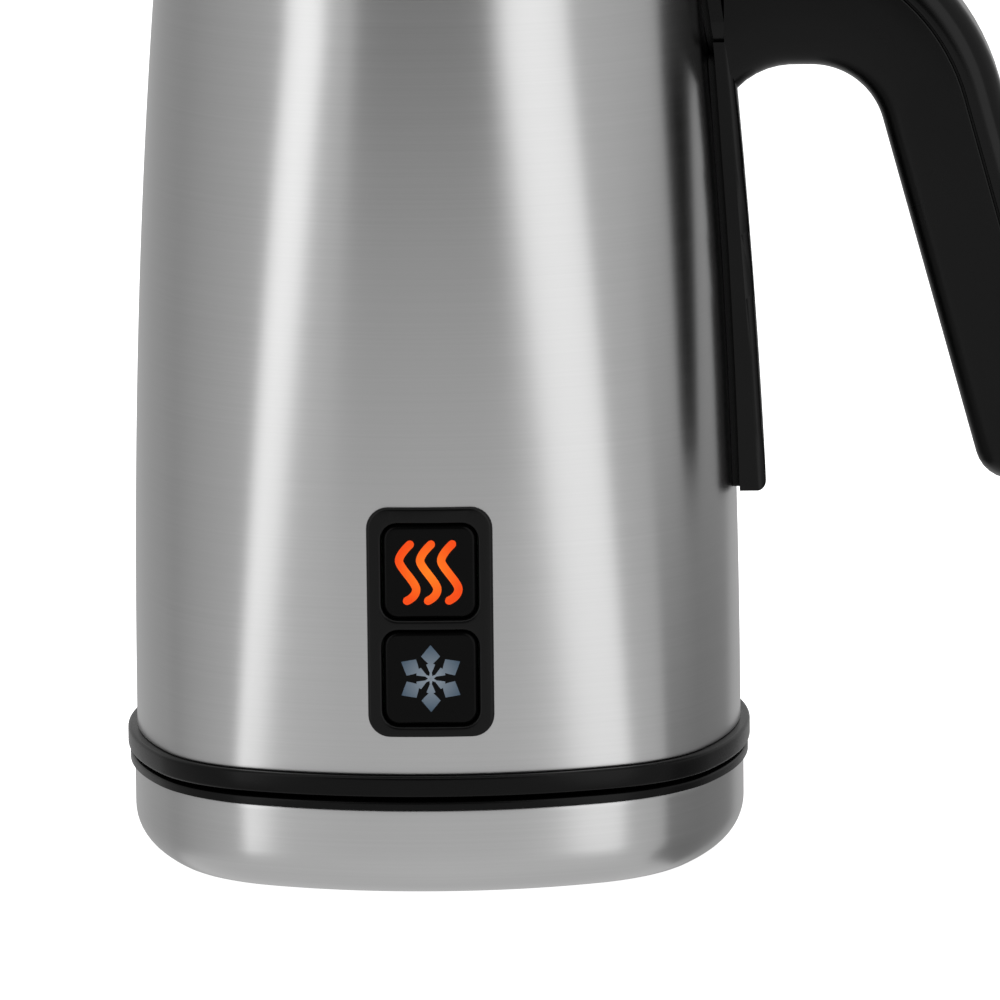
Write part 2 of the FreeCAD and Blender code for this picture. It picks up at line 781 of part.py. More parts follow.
def handle_prism(inset, far_inset, half, foot_extra=0.0):
    """Side profile of arm and grip, set in by inset (far_inset on the outer side), as a solid."""
    down, out = handle_axes()
    inner_line = out.dot(Vector(grip_reach, 0, grip_reach_z)) + inset
    outer_line = out.dot(Vector(grip_reach, 0, grip_reach_z)) + grip_depth - far_inset
    under = arm_under_z + inset
    top = arm_top_z - far_inset
    bend_in = arm_inner_bend + inset
    bend_out = arm_outer_bend - far_inset
    root = jug_neck_half - 6

    centre_in_z = under - bend_in
    centre_in = Vector((inner_line - bend_in - out.z * centre_in_z) / out.x, 0, centre_in_z)
    centre_out_z = top - bend_out
    centre_out = Vector((outer_line - bend_out - out.z * centre_out_z) / out.x, 0, centre_out_z)
    diagonal = (out + Vector(0, 0, 1)).normalize()

    def on_line(offset, along):
        return out * offset + down * along

    foot_along = down.dot(Vector(grip_reach, 0, grip_reach_z)) + (grip_reach_z - grip_foot_z) - inset
    foot_along = foot_along + foot_extra
    round_foot = grip_foot_round - inset
    middle = (down + out).normalize()
    middle_in = (down - out).normalize()
    foot_in = on_line(inner_line + round_foot, foot_along - round_foot)
    foot_out = on_line(outer_line - round_foot, foot_along - round_foot)

    root_bend = arm_root_bend + inset
    root_centre = Vector(centre_in.x - arm_level, 0, under - root_bend)

    def on_root(angle):
        turn = math.radians(angle)
        return root_centre + Vector(-math.sin(turn), 0, math.cos(turn)) * root_bend

    root_end = on_root(arm_root_turn)
    root_drop = (root_end.x - root) * math.tan(math.radians(arm_root_turn))
    arm_low = Vector(root, 0, root_end.z - root_drop)
    arm_high = Vector(root, 0, top)
    bend_start = centre_in + Vector(0, 0, bend_in)
    bend_middle = centre_in + diagonal * bend_in
    bend_end = centre_in + out * bend_in
    outer_start = centre_out + out * bend_out
    outer_middle = centre_out + diagonal * bend_out
    outer_end = centre_out + Vector(0, 0, bend_out)
    foot_in_side = foot_in - out * round_foot
    foot_in_low = foot_in + down * round_foot
    foot_out_low = foot_out + down * round_foot
    foot_out_side = foot_out + out * round_foot
    edges = [Part.LineSegment(arm_low, root_end).toShape(),
             Part.Arc(root_end, on_root(arm_root_turn / 2), on_root(0)).toShape(),
             Part.LineSegment(on_root(0), bend_start).toShape(),
             Part.Arc(bend_start, bend_middle, bend_end).toShape(),
             Part.LineSegment(bend_end, foot_in_side).toShape(),
             Part.Arc(foot_in_side, foot_in + middle_in * round_foot, foot_in_low).toShape(),
             Part.LineSegment(foot_in_low, foot_out_low).toShape(),
             Part.Arc(foot_out_low, foot_out + middle * round_foot, foot_out_side).toShape(),
             Part.LineSegment(foot_out_side, outer_start).toShape(),
             Part.Arc(outer_start, outer_middle, outer_end).toShape(),
             Part.LineSegment(outer_end, arm_high).toShape(),
             Part.LineSegment(arm_high, arm_low).toShape()]
    face = Part.Face(Part.Wire(edges))
    face.translate(Vector(0, -half, 0))
    return face.extrude(Vector(0, 2 * half, 0))


def handle_whole():
    """Arm and grip in one, edges rounded, hollow, and cut off where it meets the saddle."""
    solid = handle_prism(0, 0, handle_half)
    side_edges = [edge for edge in solid.Edges if edge.BoundBox.YLength < 0.01]
    solid = solid.makeFillet(handle_edge, side_edges)
    void = handle_prism(handle_wall, handle_wall, handle_half - handle_wall)
    return solid.cut(void).cut(jug_form(saddle_proud)).cut(strip_form())


def handle_grip():
    """Inner part of the handle: the arm and the side that the fingers close on."""
    return handle_whole().common(handle_prism(-5, cover_depth, handle_half + 5, -2))


def handle_cover():
    """Outer part of the handle, from the top of the arm down the palm side."""
    return handle_whole().cut(handle_prism(-5, cover_depth - seam_gap, handle_half + 5, 0))


def spine_face():
    """Side outline of the spine: an arc outside, a rounded foot, open towards the jug."""
    def outer(z, proud):
        return Vector(jug_half(z) + proud, 0, z)

    top = outer(arm_under_z + handle_edge, saddle_proud)
    middle_z = (spine_foot_z + arm_under_z) / 2
    middle = outer(middle_z, (spine_foot_proud + saddle_proud) / 2)
    foot = outer(spine_foot_z, spine_foot_proud)
    inside = jug_neck_half - 8
    edges = [Part.Arc(top, middle, foot).toShape(),
             Part.LineSegment(foot, Vector(inside, 0, foot.z)).toShape(),
             Part.LineSegment(Vector(inside, 0, foot.z), Vector(inside, 0, top.z)).toShape(),
             Part.LineSegment(Vector(inside, 0, top.z), top).toShape()]
    return Part.Face(Part.Wire(edges))


def saddle(low_grow, high_grow, half, low_z, top_z, corner):
    """Patch of the jug's surface on the handle side, between two offsets of it."""
    patch = block(jug_neck_half / 2, jug_foot_half + 10, -half, half, low_z, top_z)
    long_edges = [edge for edge in patch.Edges if edge.BoundBox.XLength > 5]
    patch = patch.makeFillet(corner, long_edges)
    return patch.common(jug_form(high_grow)).cut(jug_form(low_grow))


def strip_form():
    """The strip down the jug's side, before the jug's own form is taken out of it."""
    face = spine_face()
    face.translate(Vector(0, -handle_half, 0))
    strip = face.extrude(Vector(0, 2 * handle_half, 0))
    inside = jug_neck_half - 8
    side_edges = [edge for edge in strip.Edges
                  if edge.BoundBox.YLength < 0.01 and edge.BoundBox.XMin > inside + 1]
    foot_edge = [edge for edge in strip.Edges
                 if edge.BoundBox.YLength > handle_half and edge.BoundBox.XMin > inside + 1
                 and edge.BoundBox.ZMax < spine_foot_z + 0.01]
    return strip.makeFillet(spine_edge, side_edges + foot_edge)


def handle_spine():
    """Strip down the jug's side and the saddle above it that the arm is screwed to."""
    strip = strip_form().cut(jug_form(pad_thick))
    wide = saddle(pad_thick, saddle_proud, handle_half, arm_under_z, saddle_top_z, saddle_corner)
    spine = strip.fuse(wide).removeSplitter()
    for z in handle_screw_z:
        reach = jug_half(z) + saddle_proud - 0.9
        spine = spine.cut(rod_x(handle_screw_radius + screw_play, jug_half(z) - 2, reach, 0, z))
    return spine


def spine_pad():
    """Thin soft pad between the steel wall and the spine."""
    outside = pad_thick - running_play
    low = saddle(running_play, outside, handle_half - pad_inset, spine_foot_z + pad_inset,
                 arm_under_z + 2, 1.5)
    high = saddle(running_play, outside, handle_half - pad_inset, arm_under_z + pad_inset,
                  saddle_top_z - pad_inset, saddle_corner)
    pad = low.fuse(high).removeSplitter()
    for z in handle_screw_z:
        pad = pad.cut(rod_x(handle_screw_radius + screw_play, jug_half(z) - 2, jug_half(z) + 5, 0, z))
    return pad


def handle_screws():
    """Three flat-headed screws, put in from inside the wall."""
    screws = []
    for z in handle_screw_z:
        low_side = min(jug_half(z - flat_head_radius), jug_half(z + flat_head_radius))
        wall = low_side - jug_wall - seat_gap
        shank = rod_x(handle_screw_radius, wall - 0.5, jug_half(z) + saddle_proud - 1, 0, z)
        head = rod_x(flat_head_radius, wall - flat_head_thick, wall, 0, z)
        screws.append(fuse_all([head, shank]))
    return group(screws)


def arm_post():
    """Tie rod through the arm that draws the handle against the saddle."""
    height = (arm_under_z + arm_top_z) / 2
    start = jug_half(height) + saddle_proud + seat_gap
    return rod_x(tie_radius, start, start + post_reach, 0, height)


# ---------------------------------------------------------------- lid
def lid_cover():
    top = jug_rim_z + lid_flange_thick
    flange = rod(jug_rim_half, jug_rim_z, top)
    flange = flange.makeFillet(lid_edge, [e for e in flange.Edges if e.BoundBox.ZMin > top - 0.01])
    rise = lid_dome
    span = jug_rim_half - dome_inset
    ball = (span ** 2 + rise ** 2) / (2 * rise)
    dome = Part.makeSphere(ball, Vector(0, 0, top + rise - ball))
    dome = dome.common(rod(span + 1, top - 0.5, top + rise + over))
    skirt = tube(lid_skirt_radius, lid_skirt_radius - lid_skirt_wall, jug_rim_z - lid_skirt_drop, jug_rim_z)
    lid = fuse_all([flange, dome, skirt])
    seal_z = jug_rim_z - lid_skirt_drop + lid_seal_low
    seat = tube(jug_rim_half, lid_skirt_radius - lid_seal_groove, seal_z, seal_z + lid_seal_height)
    lid = lid.cut(seat)
    return lid.cut(rod(screw_radius + screw_play, jug_rim_z - over, top + rise + over))


def lid_seal():
    """Soft ring in the groove round the lid's skirt."""
    low = jug_rim_z - lid_skirt_drop + lid_seal_low
    outer = jug_half(low) - jug_wall - lid_seal_play
    ring = tube(outer, lid_skirt_radius - lid_seal_groove, low, low + lid_seal_height)
    return ring.makeFillet(lid_seal_edge, [e for e in ring.Edges if e.BoundBox.XMax > outer - 0.01
                                 and e.BoundBox.ZLength < 0.01])


def lid_knob():
    low = jug_rim_z + lid_flange_thick + lid_dome
    foot = rod(knob_neck + knob_foot_flare, low, low + knob_foot_thick)
    neck = rod(knob_neck, low, low + knob_height / 2)
    head = rod(knob_radius, low + knob_height / 2 - over, low + knob_height)
    head = head.makeFillet(knob_edge, [e for e in head.Edges if e.BoundBox.ZLength < 0.01])
    knob = fuse_all([foot, neck, head])
    return knob.cut(rod(screw_radius + screw_play, low - over, low + knob_height - 3))


def lid_screw():
    return screw(0, 0, jug_rim_z, lid_flange_thick + lid_dome + knob_height - 5)


# ---------------------------------------------------------------- rotor and whisk
def rotor_shaft():
    return rod(shaft_radius, bracket_z - motor_height / 2 + seat_gap, carrier_top_z - shaft_bite)


def magnet_carrier():
    body = rod(carrier_radius, carrier_z, carrier_top_z)
    body = body.cut(rod(shaft_radius, carrier_z - over, carrier_top_z - shaft_bite))
    for x, y in around(4, magnet_place, 45):
        body = body.cut(rod(magnet_radius, carrier_top_z - magnet_height, carrier_top_z + over, x, y))
    return body


def drive_magnets():
    return group([rod(magnet_radius, carrier_top_z - magnet_height, carrier_top_z, x, y)
                  for x, y in around(4, magnet_place, 45)])


def whisk_magnet_form(x, y):
    low = whisk_z + whisk_magnet_low
    return rod(whisk_magnet, low, low + whisk_magnet_thick, x, y)


def whisk_body():
    """Plastic disc and hub that turn on the pin and follow the magnets under the floor."""
    disc = rod(whisk_disc, whisk_z, whisk_z + whisk_disc_thick)
    disc = disc.makeFillet(whisk_edge, [e for e in disc.Edges if e.BoundBox.ZLength < 0.01])
    hub = rod(whisk_hub, whisk_z + whisk_magnet_low, whisk_z + whisk_hub_rise)
    top_edges = [edge for edge in hub.Edges if edge.BoundBox.ZMin > whisk_z + whisk_hub_rise - 0.01]
    hub = hub.makeFillet(whisk_hub_edge, top_edges)
    body = disc.fuse(hub).removeSplitter()
    bore_top = pot_floor_z + whisk_pin_rise + whisk_bore_head
    body = body.cut(rod(whisk_pin_radius + running_play, whisk_z - over, bore_top))
    for x, y in around(2, whisk_magnet_place):
        body = body.cut(whisk_magnet_form(x, y))
    return body


def whisk_magnets():
    return group([whisk_magnet_form(x, y) for x, y in around(2, whisk_magnet_place)])


def whisk_coil():
    """Outer form of the fine spring that is bent into a ring round the disc."""
    return Part.makeTorus(coil_radius, coil_tube, Vector(0, 0, whisk_z + whisk_disc_thick / 2))


NODES = {
    "base_shell": base_shell,
    "base_seat": base_seat,
    "base_bottom_plate": base_bottom_plate,
    "rubber_feet": rubber_feet,
    "base_screws": base_screws,
    "plug_tower": plug_tower,
    "plug_contacts": plug_contacts,
    "cord_inlet_bush": cord_inlet_bush,
    "cord_clamp": cord_clamp,
    "jug_shell": jug_shell,
    "jug_ring": jug_ring,
    "jug_bottom_cover": jug_bottom_cover,
    "cover_screws": cover_screws,
    "socket_block": socket_block,
    "socket_contacts": socket_contacts,
    "inner_pot": inner_pot,
    "pot_seal": pot_seal,
    "whisk_pin": whisk_pin,
    "heat_plate": heat_plate,
    "heater_ring": heater_ring,
    "temperature_probe": temperature_probe,
    "thermal_fuse": thermal_fuse,
    "motor_bracket": motor_bracket,
    "motor": motor,
    "motor_screws": motor_screws,
    "control_board": control_board,
    "tact_switches": tact_switches,
    "indicator_lamps": indicator_lamps,
    "power_board": power_board,
    "board_parts": board_parts,
    "panel_bezel": panel_bezel,
    "hot_button": hot_button,
    "cold_button": cold_button,
    "spine_pad": spine_pad,
    "handle_spine": handle_spine,
    "handle_grip": handle_grip,
    "handle_cover": handle_cover,
    "handle_screws": handle_screws,
    "arm_post": arm_post,
    "lid_cover": lid_cover,
    "lid_seal": lid_seal,
    "lid_knob": lid_knob,
    "lid_screw": lid_screw,
    "rotor_shaft": rotor_shaft,
    "magnet_carrier": magnet_carrier,
    "drive_magnets": drive_magnets,
    "whisk_body": whisk_body,
    "whisk_magnets": whisk_magnets,
    "whisk_coil": whisk_coil,
}

os.makedirs("parts", exist_ok=True)
for name, make in NODES.items():
    shape = make()
    shape.exportStep("parts/" + name + ".step")
    print(name, len(shape.Solids), round(shape.Volume, 1), shape.isValid())
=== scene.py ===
# %% [markdown]
# # A jug frother, finished in Blender
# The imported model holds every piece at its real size. This lesson gives each piece the surface
# that the real one has: brushed steel, moulded black plastic, printed signs on two buttons.
# Pieces whose shape matters to the eye are modelled again as smooth meshes in the same place,
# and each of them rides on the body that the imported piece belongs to.

# %% Load the frame
import json
import math
import bmesh
import bpy
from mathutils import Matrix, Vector
from mathutils.geometry import interpolate_bezier


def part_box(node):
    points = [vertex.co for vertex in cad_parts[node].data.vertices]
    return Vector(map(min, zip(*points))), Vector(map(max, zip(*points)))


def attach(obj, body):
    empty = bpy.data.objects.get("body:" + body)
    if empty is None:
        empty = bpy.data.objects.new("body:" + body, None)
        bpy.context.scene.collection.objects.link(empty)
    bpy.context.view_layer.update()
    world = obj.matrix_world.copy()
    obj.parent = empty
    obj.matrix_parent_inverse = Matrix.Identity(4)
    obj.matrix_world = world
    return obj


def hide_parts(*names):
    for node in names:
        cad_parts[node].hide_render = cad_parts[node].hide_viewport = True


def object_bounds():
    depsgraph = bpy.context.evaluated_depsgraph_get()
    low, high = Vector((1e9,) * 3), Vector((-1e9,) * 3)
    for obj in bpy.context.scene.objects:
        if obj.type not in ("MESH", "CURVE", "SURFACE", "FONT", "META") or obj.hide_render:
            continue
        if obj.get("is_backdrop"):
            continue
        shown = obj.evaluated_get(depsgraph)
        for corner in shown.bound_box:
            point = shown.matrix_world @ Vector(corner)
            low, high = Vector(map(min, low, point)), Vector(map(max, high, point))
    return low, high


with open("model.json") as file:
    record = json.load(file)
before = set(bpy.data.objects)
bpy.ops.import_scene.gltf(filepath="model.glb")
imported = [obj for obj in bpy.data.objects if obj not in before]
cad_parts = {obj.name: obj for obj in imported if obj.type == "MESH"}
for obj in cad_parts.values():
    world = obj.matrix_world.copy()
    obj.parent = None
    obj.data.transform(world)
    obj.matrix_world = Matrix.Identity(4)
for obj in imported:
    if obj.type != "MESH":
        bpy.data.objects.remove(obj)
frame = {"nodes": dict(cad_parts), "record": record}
cad_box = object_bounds()
MM = 0.001

# %% [markdown]
# ## The camera
# The jug is seen from about two metres, ten degrees above the horizon and a degree to the right,
# with a long lens, so that it nearly fills the frame and its top and handle run out of it.
# A camera looks along its own -Z, so one rotation built from the view direction aims it.

# %% Aim the camera
view_distance = 1.87
view_height = math.radians(9.976)
view_side = math.radians(1.1)
view_roll = math.radians(0.638)
aim = Vector((0.01092, 0.0, 0.0599))
away = Vector((math.sin(view_side) * math.cos(view_height),
               -math.cos(view_side) * math.cos(view_height), math.sin(view_height)))
camera_data = bpy.data.cameras.new("camera")
camera_data.sensor_width = 36.0
camera_data.lens = 391.6
camera = bpy.data.objects.new("camera", camera_data)
bpy.context.scene.collection.objects.link(camera)
camera.location = aim + away * view_distance
camera.rotation_euler = (away.to_track_quat("Z", "Y").to_matrix().to_4x4()).to_euler()
camera.rotation_euler.rotate_axis("Z", -view_roll)
bpy.context.scene.camera = camera
print("camera at", [round(value, 3) for value in camera.location])

# %% [markdown]
# ## Colours and nodes
# A hex colour is written for the screen, and Cycles works with linear light, so one function
# converts it. A second one adds a shader node: what it is set to, and what feeds each socket.


# %% Colour and node helpers
def linear(hex_colour):
    """Linear RGBA of an sRGB hex colour."""
    channels = [int(hex_colour[start:start + 2], 16) / 255 for start in (1, 3, 5)]
    return [c / 12.92 if c <= 0.04045 else ((c + 0.055) / 1.055) ** 2.4 for c in channels] + [1.0]


def add_node(tree, kind, sockets=None, **settings):
    """Adds a node. settings are its properties; sockets maps an input to a value or to an output."""
    made = tree.nodes.new(kind)
    for name, value in settings.items():
        setattr(made, name, value)
    for key, value in (sockets or {}).items():
        if isinstance(value, bpy.types.NodeSocket):
            tree.links.new(value, made.inputs[key])
        else:
            made.inputs[key].default_value = value
    return made


def new_material(name):
    """An empty material with only its output node."""
    material = bpy.data.materials.new(name)
    material.use_nodes = True
    material.node_tree.nodes.clear()
    output = add_node(material.node_tree, "ShaderNodeOutputMaterial")
    return material, material.node_tree, output


def noise(tree, scale, detail=2.0, stretch=(1.0, 1.0, 1.0)):
    """Noise on Object coordinates; scale is features per metre, stretch multiplies each axis."""
    place = add_node(tree, "ShaderNodeTexCoord").outputs["Object"]
    mapped = add_node(tree, "ShaderNodeMapping", {"Vector": place, "Scale": stretch})
    return add_node(tree, "ShaderNodeTexNoise",
                    {"Vector": mapped.outputs[0], "Scale": scale, "Detail": detail}).outputs["Fac"]


def spread(tree, value, low, high):
    """Maps a noise value of about 0.3 to 0.7 onto low to high."""
    return add_node(tree, "ShaderNodeMapRange", {"Value": value, "From Min": 0.3, "From Max": 0.7,
                                                 "To Min": low, "To Max": high}).outputs[0]


# %% [markdown]
# ## Brushed stainless steel
# A belt drawn round the jug leaves scratches that run level, a fraction of a millimetre apart and
# several centimetres long. They smear a reflection up and down, so a lamp becomes a tall stripe
# with fairly clean sides. The shader's anisotropy does that smearing. The scratches themselves
# come from noise squeezed hard along Z, which slightly changes colour, roughness and height.


# %% Steel finishes
def brushed_steel(name, colour, rough, scratch_mm=0.35, along="Z", anisotropy=0.82):
    """Stainless steel brushed level round the Z axis."""
    material, tree, output = new_material(name)
    fine = noise(tree, 1.0, 3.0, (14.0, 14.0, 1000.0 / scratch_mm))
    swing = 0.025
    dark = [channel * (1 - swing) for channel in linear(colour)[:3]] + [1.0]
    pale = [channel * (1 + swing) for channel in linear(colour)[:3]] + [1.0]
    tone = add_node(tree, "ShaderNodeMapRange", {"Value": fine, "From Min": 0.3, "From Max": 0.7})
    ramp = add_node(tree, "ShaderNodeValToRGB", {"Fac": tone.outputs[0]})
    ramp.color_ramp.elements[0].color = dark
    ramp.color_ramp.elements[1].color = pale
    bump = add_node(tree, "ShaderNodeBump", {"Height": fine, "Strength": 0.02, "Distance": 0.00002})
    tangent = add_node(tree, "ShaderNodeTangent", direction_type="RADIAL", axis=along)
    shader = add_node(tree, "ShaderNodeBsdfPrincipled",
                      {"Base Color": ramp.outputs["Color"], "Metallic": 1.0,
                       "Roughness": spread(tree, fine, rough - 0.015, rough + 0.015),
                       "Anisotropic": anisotropy, "Anisotropic Rotation": 0.25,
                       "Normal": bump.outputs[0], "Tangent": tangent.outputs[0]})
    tree.links.new(shader.outputs[0], output.inputs["Surface"])
    return material


# %% [markdown]
# ## Moulded black plastic
# The handle, panel and rings are injection moulded. A polished mould would leave gloss; these were
# spark-eroded, so the skin has a grain of a tenth of a millimetre that softens each reflection.
# The colour never quite reaches black: real black plastic reflects about one part in a hundred.


# %% Plastic, rubber and small metal finishes
def moulded_plastic(name, colour, rough, gloss, grain_mm=0.12, depth=0.00002):
    """ABS or PP from a grained mould."""
    material, tree, output = new_material(name)
    grain = noise(tree, 1000.0 / grain_mm, 2.0)
    cloud = noise(tree, 60.0, 3.0)
    bump = add_node(tree, "ShaderNodeBump", {"Height": grain, "Strength": 0.35, "Distance": depth})
    tone = add_node(tree, "ShaderNodeMapRange", {"Value": cloud, "From Min": 0.3, "From Max": 0.7})
    ramp = add_node(tree, "ShaderNodeValToRGB", {"Fac": tone.outputs[0]})
    base = linear(colour)
    ramp.color_ramp.elements[0].color = [channel * 0.92 for channel in base[:3]] + [1.0]
    ramp.color_ramp.elements[1].color = [channel * 1.08 for channel in base[:3]] + [1.0]
    shader = add_node(tree, "ShaderNodeBsdfPrincipled",
                      {"Base Color": ramp.outputs["Color"], "IOR": 1.49,
                       "Roughness": spread(tree, cloud, rough - 0.03, rough + 0.03),
                       "Specular IOR Level": gloss, "Normal": bump.outputs[0]})
    tree.links.new(shader.outputs[0], output.inputs["Surface"])
    return material


def soft_rubber(name, colour):
    """Silicone or rubber: matt, with only a weak reflection."""
    material, tree, output = new_material(name)
    grain = noise(tree, 5000.0, 2.0)
    bump = add_node(tree, "ShaderNodeBump", {"Height": grain, "Strength": 0.3, "Distance": 0.00003})
    shader = add_node(tree, "ShaderNodeBsdfPrincipled",
                      {"Base Color": linear(colour), "Roughness": spread(tree, grain, 0.62, 0.78),
                       "Specular IOR Level": 0.12, "Normal": bump.outputs[0]})
    tree.links.new(shader.outputs[0], output.inputs["Surface"])
    return material


def small_metal(name, colour, rough, mottle_mm=2.0):
    """Plated, cast or drawn metal of the small parts."""
    material, tree, output = new_material(name)
    cloud = noise(tree, 1000.0 / mottle_mm, 4.0)
    bump = add_node(tree, "ShaderNodeBump", {"Height": cloud, "Strength": 0.1, "Distance": 0.00003})
    shader = add_node(tree, "ShaderNodeBsdfPrincipled",
                      {"Base Color": linear(colour), "Metallic": 1.0,
                       "Roughness": spread(tree, cloud, rough - 0.06, rough + 0.06),
                       "Normal": bump.outputs[0]})
    tree.links.new(shader.outputs[0], output.inputs["Surface"])
    return material


def speckled_coating(name):
    """Non-stick coating: dark grey with pale mineral specks half a millimetre across."""
    material, tree, output = new_material(name)
    specks = noise(tree, 2200.0, 1.0)
    ramp = add_node(tree, "ShaderNodeValToRGB", {"Fac": specks})
    ramp.color_ramp.elements[0].position = 0.62
    ramp.color_ramp.elements[0].color = linear("#2B2B2C")
    ramp.color_ramp.elements[1].position = 0.72
    ramp.color_ramp.elements[1].color = linear("#8C8C8A")
    bump = add_node(tree, "ShaderNodeBump", {"Height": noise(tree, 900.0, 2.0), "Strength": 0.2,
                                             "Distance": 0.00005})
    shader = add_node(tree, "ShaderNodeBsdfPrincipled",
                      {"Base Color": ramp.outputs["Color"], "Roughness": 0.42, "Normal": bump.outputs[0]})
    tree.links.new(shader.outputs[0], output.inputs["Surface"])
    return material


def circuit_board(name):
    """Green solder mask with paler copper lanes showing through."""
    material, tree, output = new_material(name)
    lanes = noise(tree, 350.0, 0.0, (1.0, 0.2, 1.0))
    ramp = add_node(tree, "ShaderNodeValToRGB", {"Fac": lanes})
    ramp.color_ramp.elements[0].position = 0.48
    ramp.color_ramp.elements[0].color = linear("#0E4A25")
    ramp.color_ramp.elements[1].position = 0.52
    ramp.color_ramp.elements[1].color = linear("#1B6B38")
    shader = add_node(tree, "ShaderNodeBsdfPrincipled",
                      {"Base Color": ramp.outputs["Color"], "Roughness": 0.35})
    tree.links.new(shader.outputs[0], output.inputs["Surface"])
    return material


# %% [markdown]
# ## One finish for each material slot
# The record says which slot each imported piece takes. A dictionary from slot to finish lets one
# loop dress them all, and the modelled pieces further down pick from the same dictionary. One entry,
# cover_black, is no slot: the handle's cover is polished more than the rest of its slot's pieces.

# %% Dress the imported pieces
FINISHES = {
    "brushed_steel": brushed_steel("brushed stainless steel", "#A9A9A9", 0.29),
    "black_plastic": moulded_plastic("grained black polypropylene", "#040404", 0.27, 0.11),
    "satin_black": moulded_plastic("satin black ABS", "#030303", 0.30, 0.15),
    "cover_black": moulded_plastic("polished black ABS", "#040404", 0.17, 0.15, 0.10, 0.000006),
    "button_black": moulded_plastic("smooth black ABS", "#040404", 0.26, 0.065, 0.08, 0.000008),
    "black_rubber": soft_rubber("black rubber", "#0A0A0A"),
    "grey_silicone": soft_rubber("black silicone", "#101011"),
    "plated_steel": small_metal("zinc-plated steel", "#B4B5B2", 0.32),
    "heater_steel": small_metal("heat-tinted steel", "#8E7F6B", 0.38),
    "contact_brass": small_metal("stamped brass", "#C9A251", 0.28),
    "pot_coating": speckled_coating("non-stick coating"),
    "cast_aluminium": small_metal("cast aluminium", "#C4C5C6", 0.45, 0.8),
    "circuit_board": circuit_board("solder mask"),
    "lamp_lens": moulded_plastic("clear lamp lens", "#E6E4D8", 0.15, 0.5, 0.3, 0.000005),
    "white_plastic": moulded_plastic("grey acetal", "#3A3B3D", 0.40, 0.4),
    "magnet_nickel": small_metal("nickel plating", "#BFBBAF", 0.20),
    "whisk_steel": small_metal("drawn steel wire", "#C2C2C0", 0.22, 0.5),
}
for subpart in frame["record"]["subparts"]:
    piece = frame["nodes"][subpart["node"]]
    piece.data.materials.clear()
    piece.data.materials.append(FINISHES[subpart["material_slot"]])
print("finishes:", len(FINISHES))

# %% [markdown]
# ## Skins through rings of points
# Nearly every visible part of this object is a closed ring that changes as it travels: the jug's
# section as it rises, a button's outline as it rounds over its edge. So one helper places a circle
# of vertices on the first ring, extrudes it to the next, and goes on to the last. An extrusion
# keeps the vertices' order, which is how each one finds its place on the next ring.


# %% The skin helper
def add_loop(bm, points):
    """Adds a closed loop of edges through points and returns its vertices."""
    bmesh.ops.create_circle(bm, cap_ends=False, segments=len(points), radius=1.0)
    bm.verts.ensure_lookup_table()
    loop = bm.verts[-len(points):]
    for vert, point in zip(loop, points):
        vert.co = point
    return loop


def extrude_rings(bm, rings, loop=False, cap_first=False, cap_last=False):
    """Adds one skin to bm. loop joins the last ring back to the first; caps close an end."""
    order = bm.verts.layers.int.get("order") or bm.verts.layers.int.new("order")
    circle = add_loop(bm, rings[0])
    for index, vert in enumerate(circle):
        vert[order] = index
    edges = list({edge for vert in circle for edge in vert.link_edges})
    first = list(edges)
    for ring in rings[1:]:
        made = bmesh.ops.extrude_edge_only(bm, edges=edges)["geom"]
        fresh = {item for item in made if isinstance(item, bmesh.types.BMVert)}
        for vert in fresh:
            vert.co = ring[vert[order]]
        edges = [item for item in made if isinstance(item, bmesh.types.BMEdge)
                 and item.verts[0] in fresh and item.verts[1] in fresh]
    if loop:
        bmesh.ops.bridge_loops(bm, edges=first + edges)
    if cap_first:
        bmesh.ops.contextual_create(bm, geom=first)
    if cap_last:
        bmesh.ops.contextual_create(bm, geom=edges)


def make_piece(name, bm, body, slot, replaced=(), sharp=35.0, merge=1e-6, finish=None):
    """Turns bm into a finished object that rides on body; finish is given where it isn't the slot's."""
    bmesh.ops.remove_doubles(bm, verts=bm.verts, dist=merge)
    bmesh.ops.recalc_face_normals(bm, faces=bm.faces)
    mesh = bpy.data.meshes.new(name)
    bm.to_mesh(mesh)
    bm.free()
    mesh.shade_smooth()
    mesh.set_sharp_from_angle(angle=math.radians(sharp))
    piece = bpy.data.objects.new(name, mesh)
    bpy.context.scene.collection.objects.link(piece)
    mesh.materials.append(FINISHES[finish or slot])
    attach(piece, body)
    if replaced:
        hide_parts(*replaced)
    print(name, len(mesh.polygons), "faces")
    return piece


# %% [markdown]
# ## The rounded-square section
# The jug, ring and stand share one outline: four shallow arcs for the sides and four tighter ones
# for the corners, meeting in tangents. Each point is found from the direction its surface faces,
# so the vertices gather in the corners, where the reflections turn fastest.

# %% The section by facing angle
JOIN = math.acos(0.5 / math.sqrt(2)) - math.pi / 4
AROUND = 240


def section(half, square, grow, z, count=AROUND):
    """Points of the rounded square, in metres, from sizes in millimetres."""
    side = half * (1 + square) + grow
    corner = half * (1 - square) + grow
    inset = 2 * half * square * math.sin(JOIN)
    points = []
    for index in range(count):
        facing = 2 * math.pi * index / count
        quarter = round(facing / (math.pi / 2))
        local = facing - quarter * math.pi / 2
        if abs(local) <= JOIN:
            x = -half * square + side * math.cos(local)
            y = side * math.sin(local)
        else:
            x = inset + corner * math.cos(local)
            y = math.copysign(inset, local) + corner * math.sin(local)
        turn = quarter * math.pi / 2
        points.append(Vector((x * math.cos(turn) - y * math.sin(turn),
                              x * math.sin(turn) + y * math.cos(turn), z)) * MM)
    return points


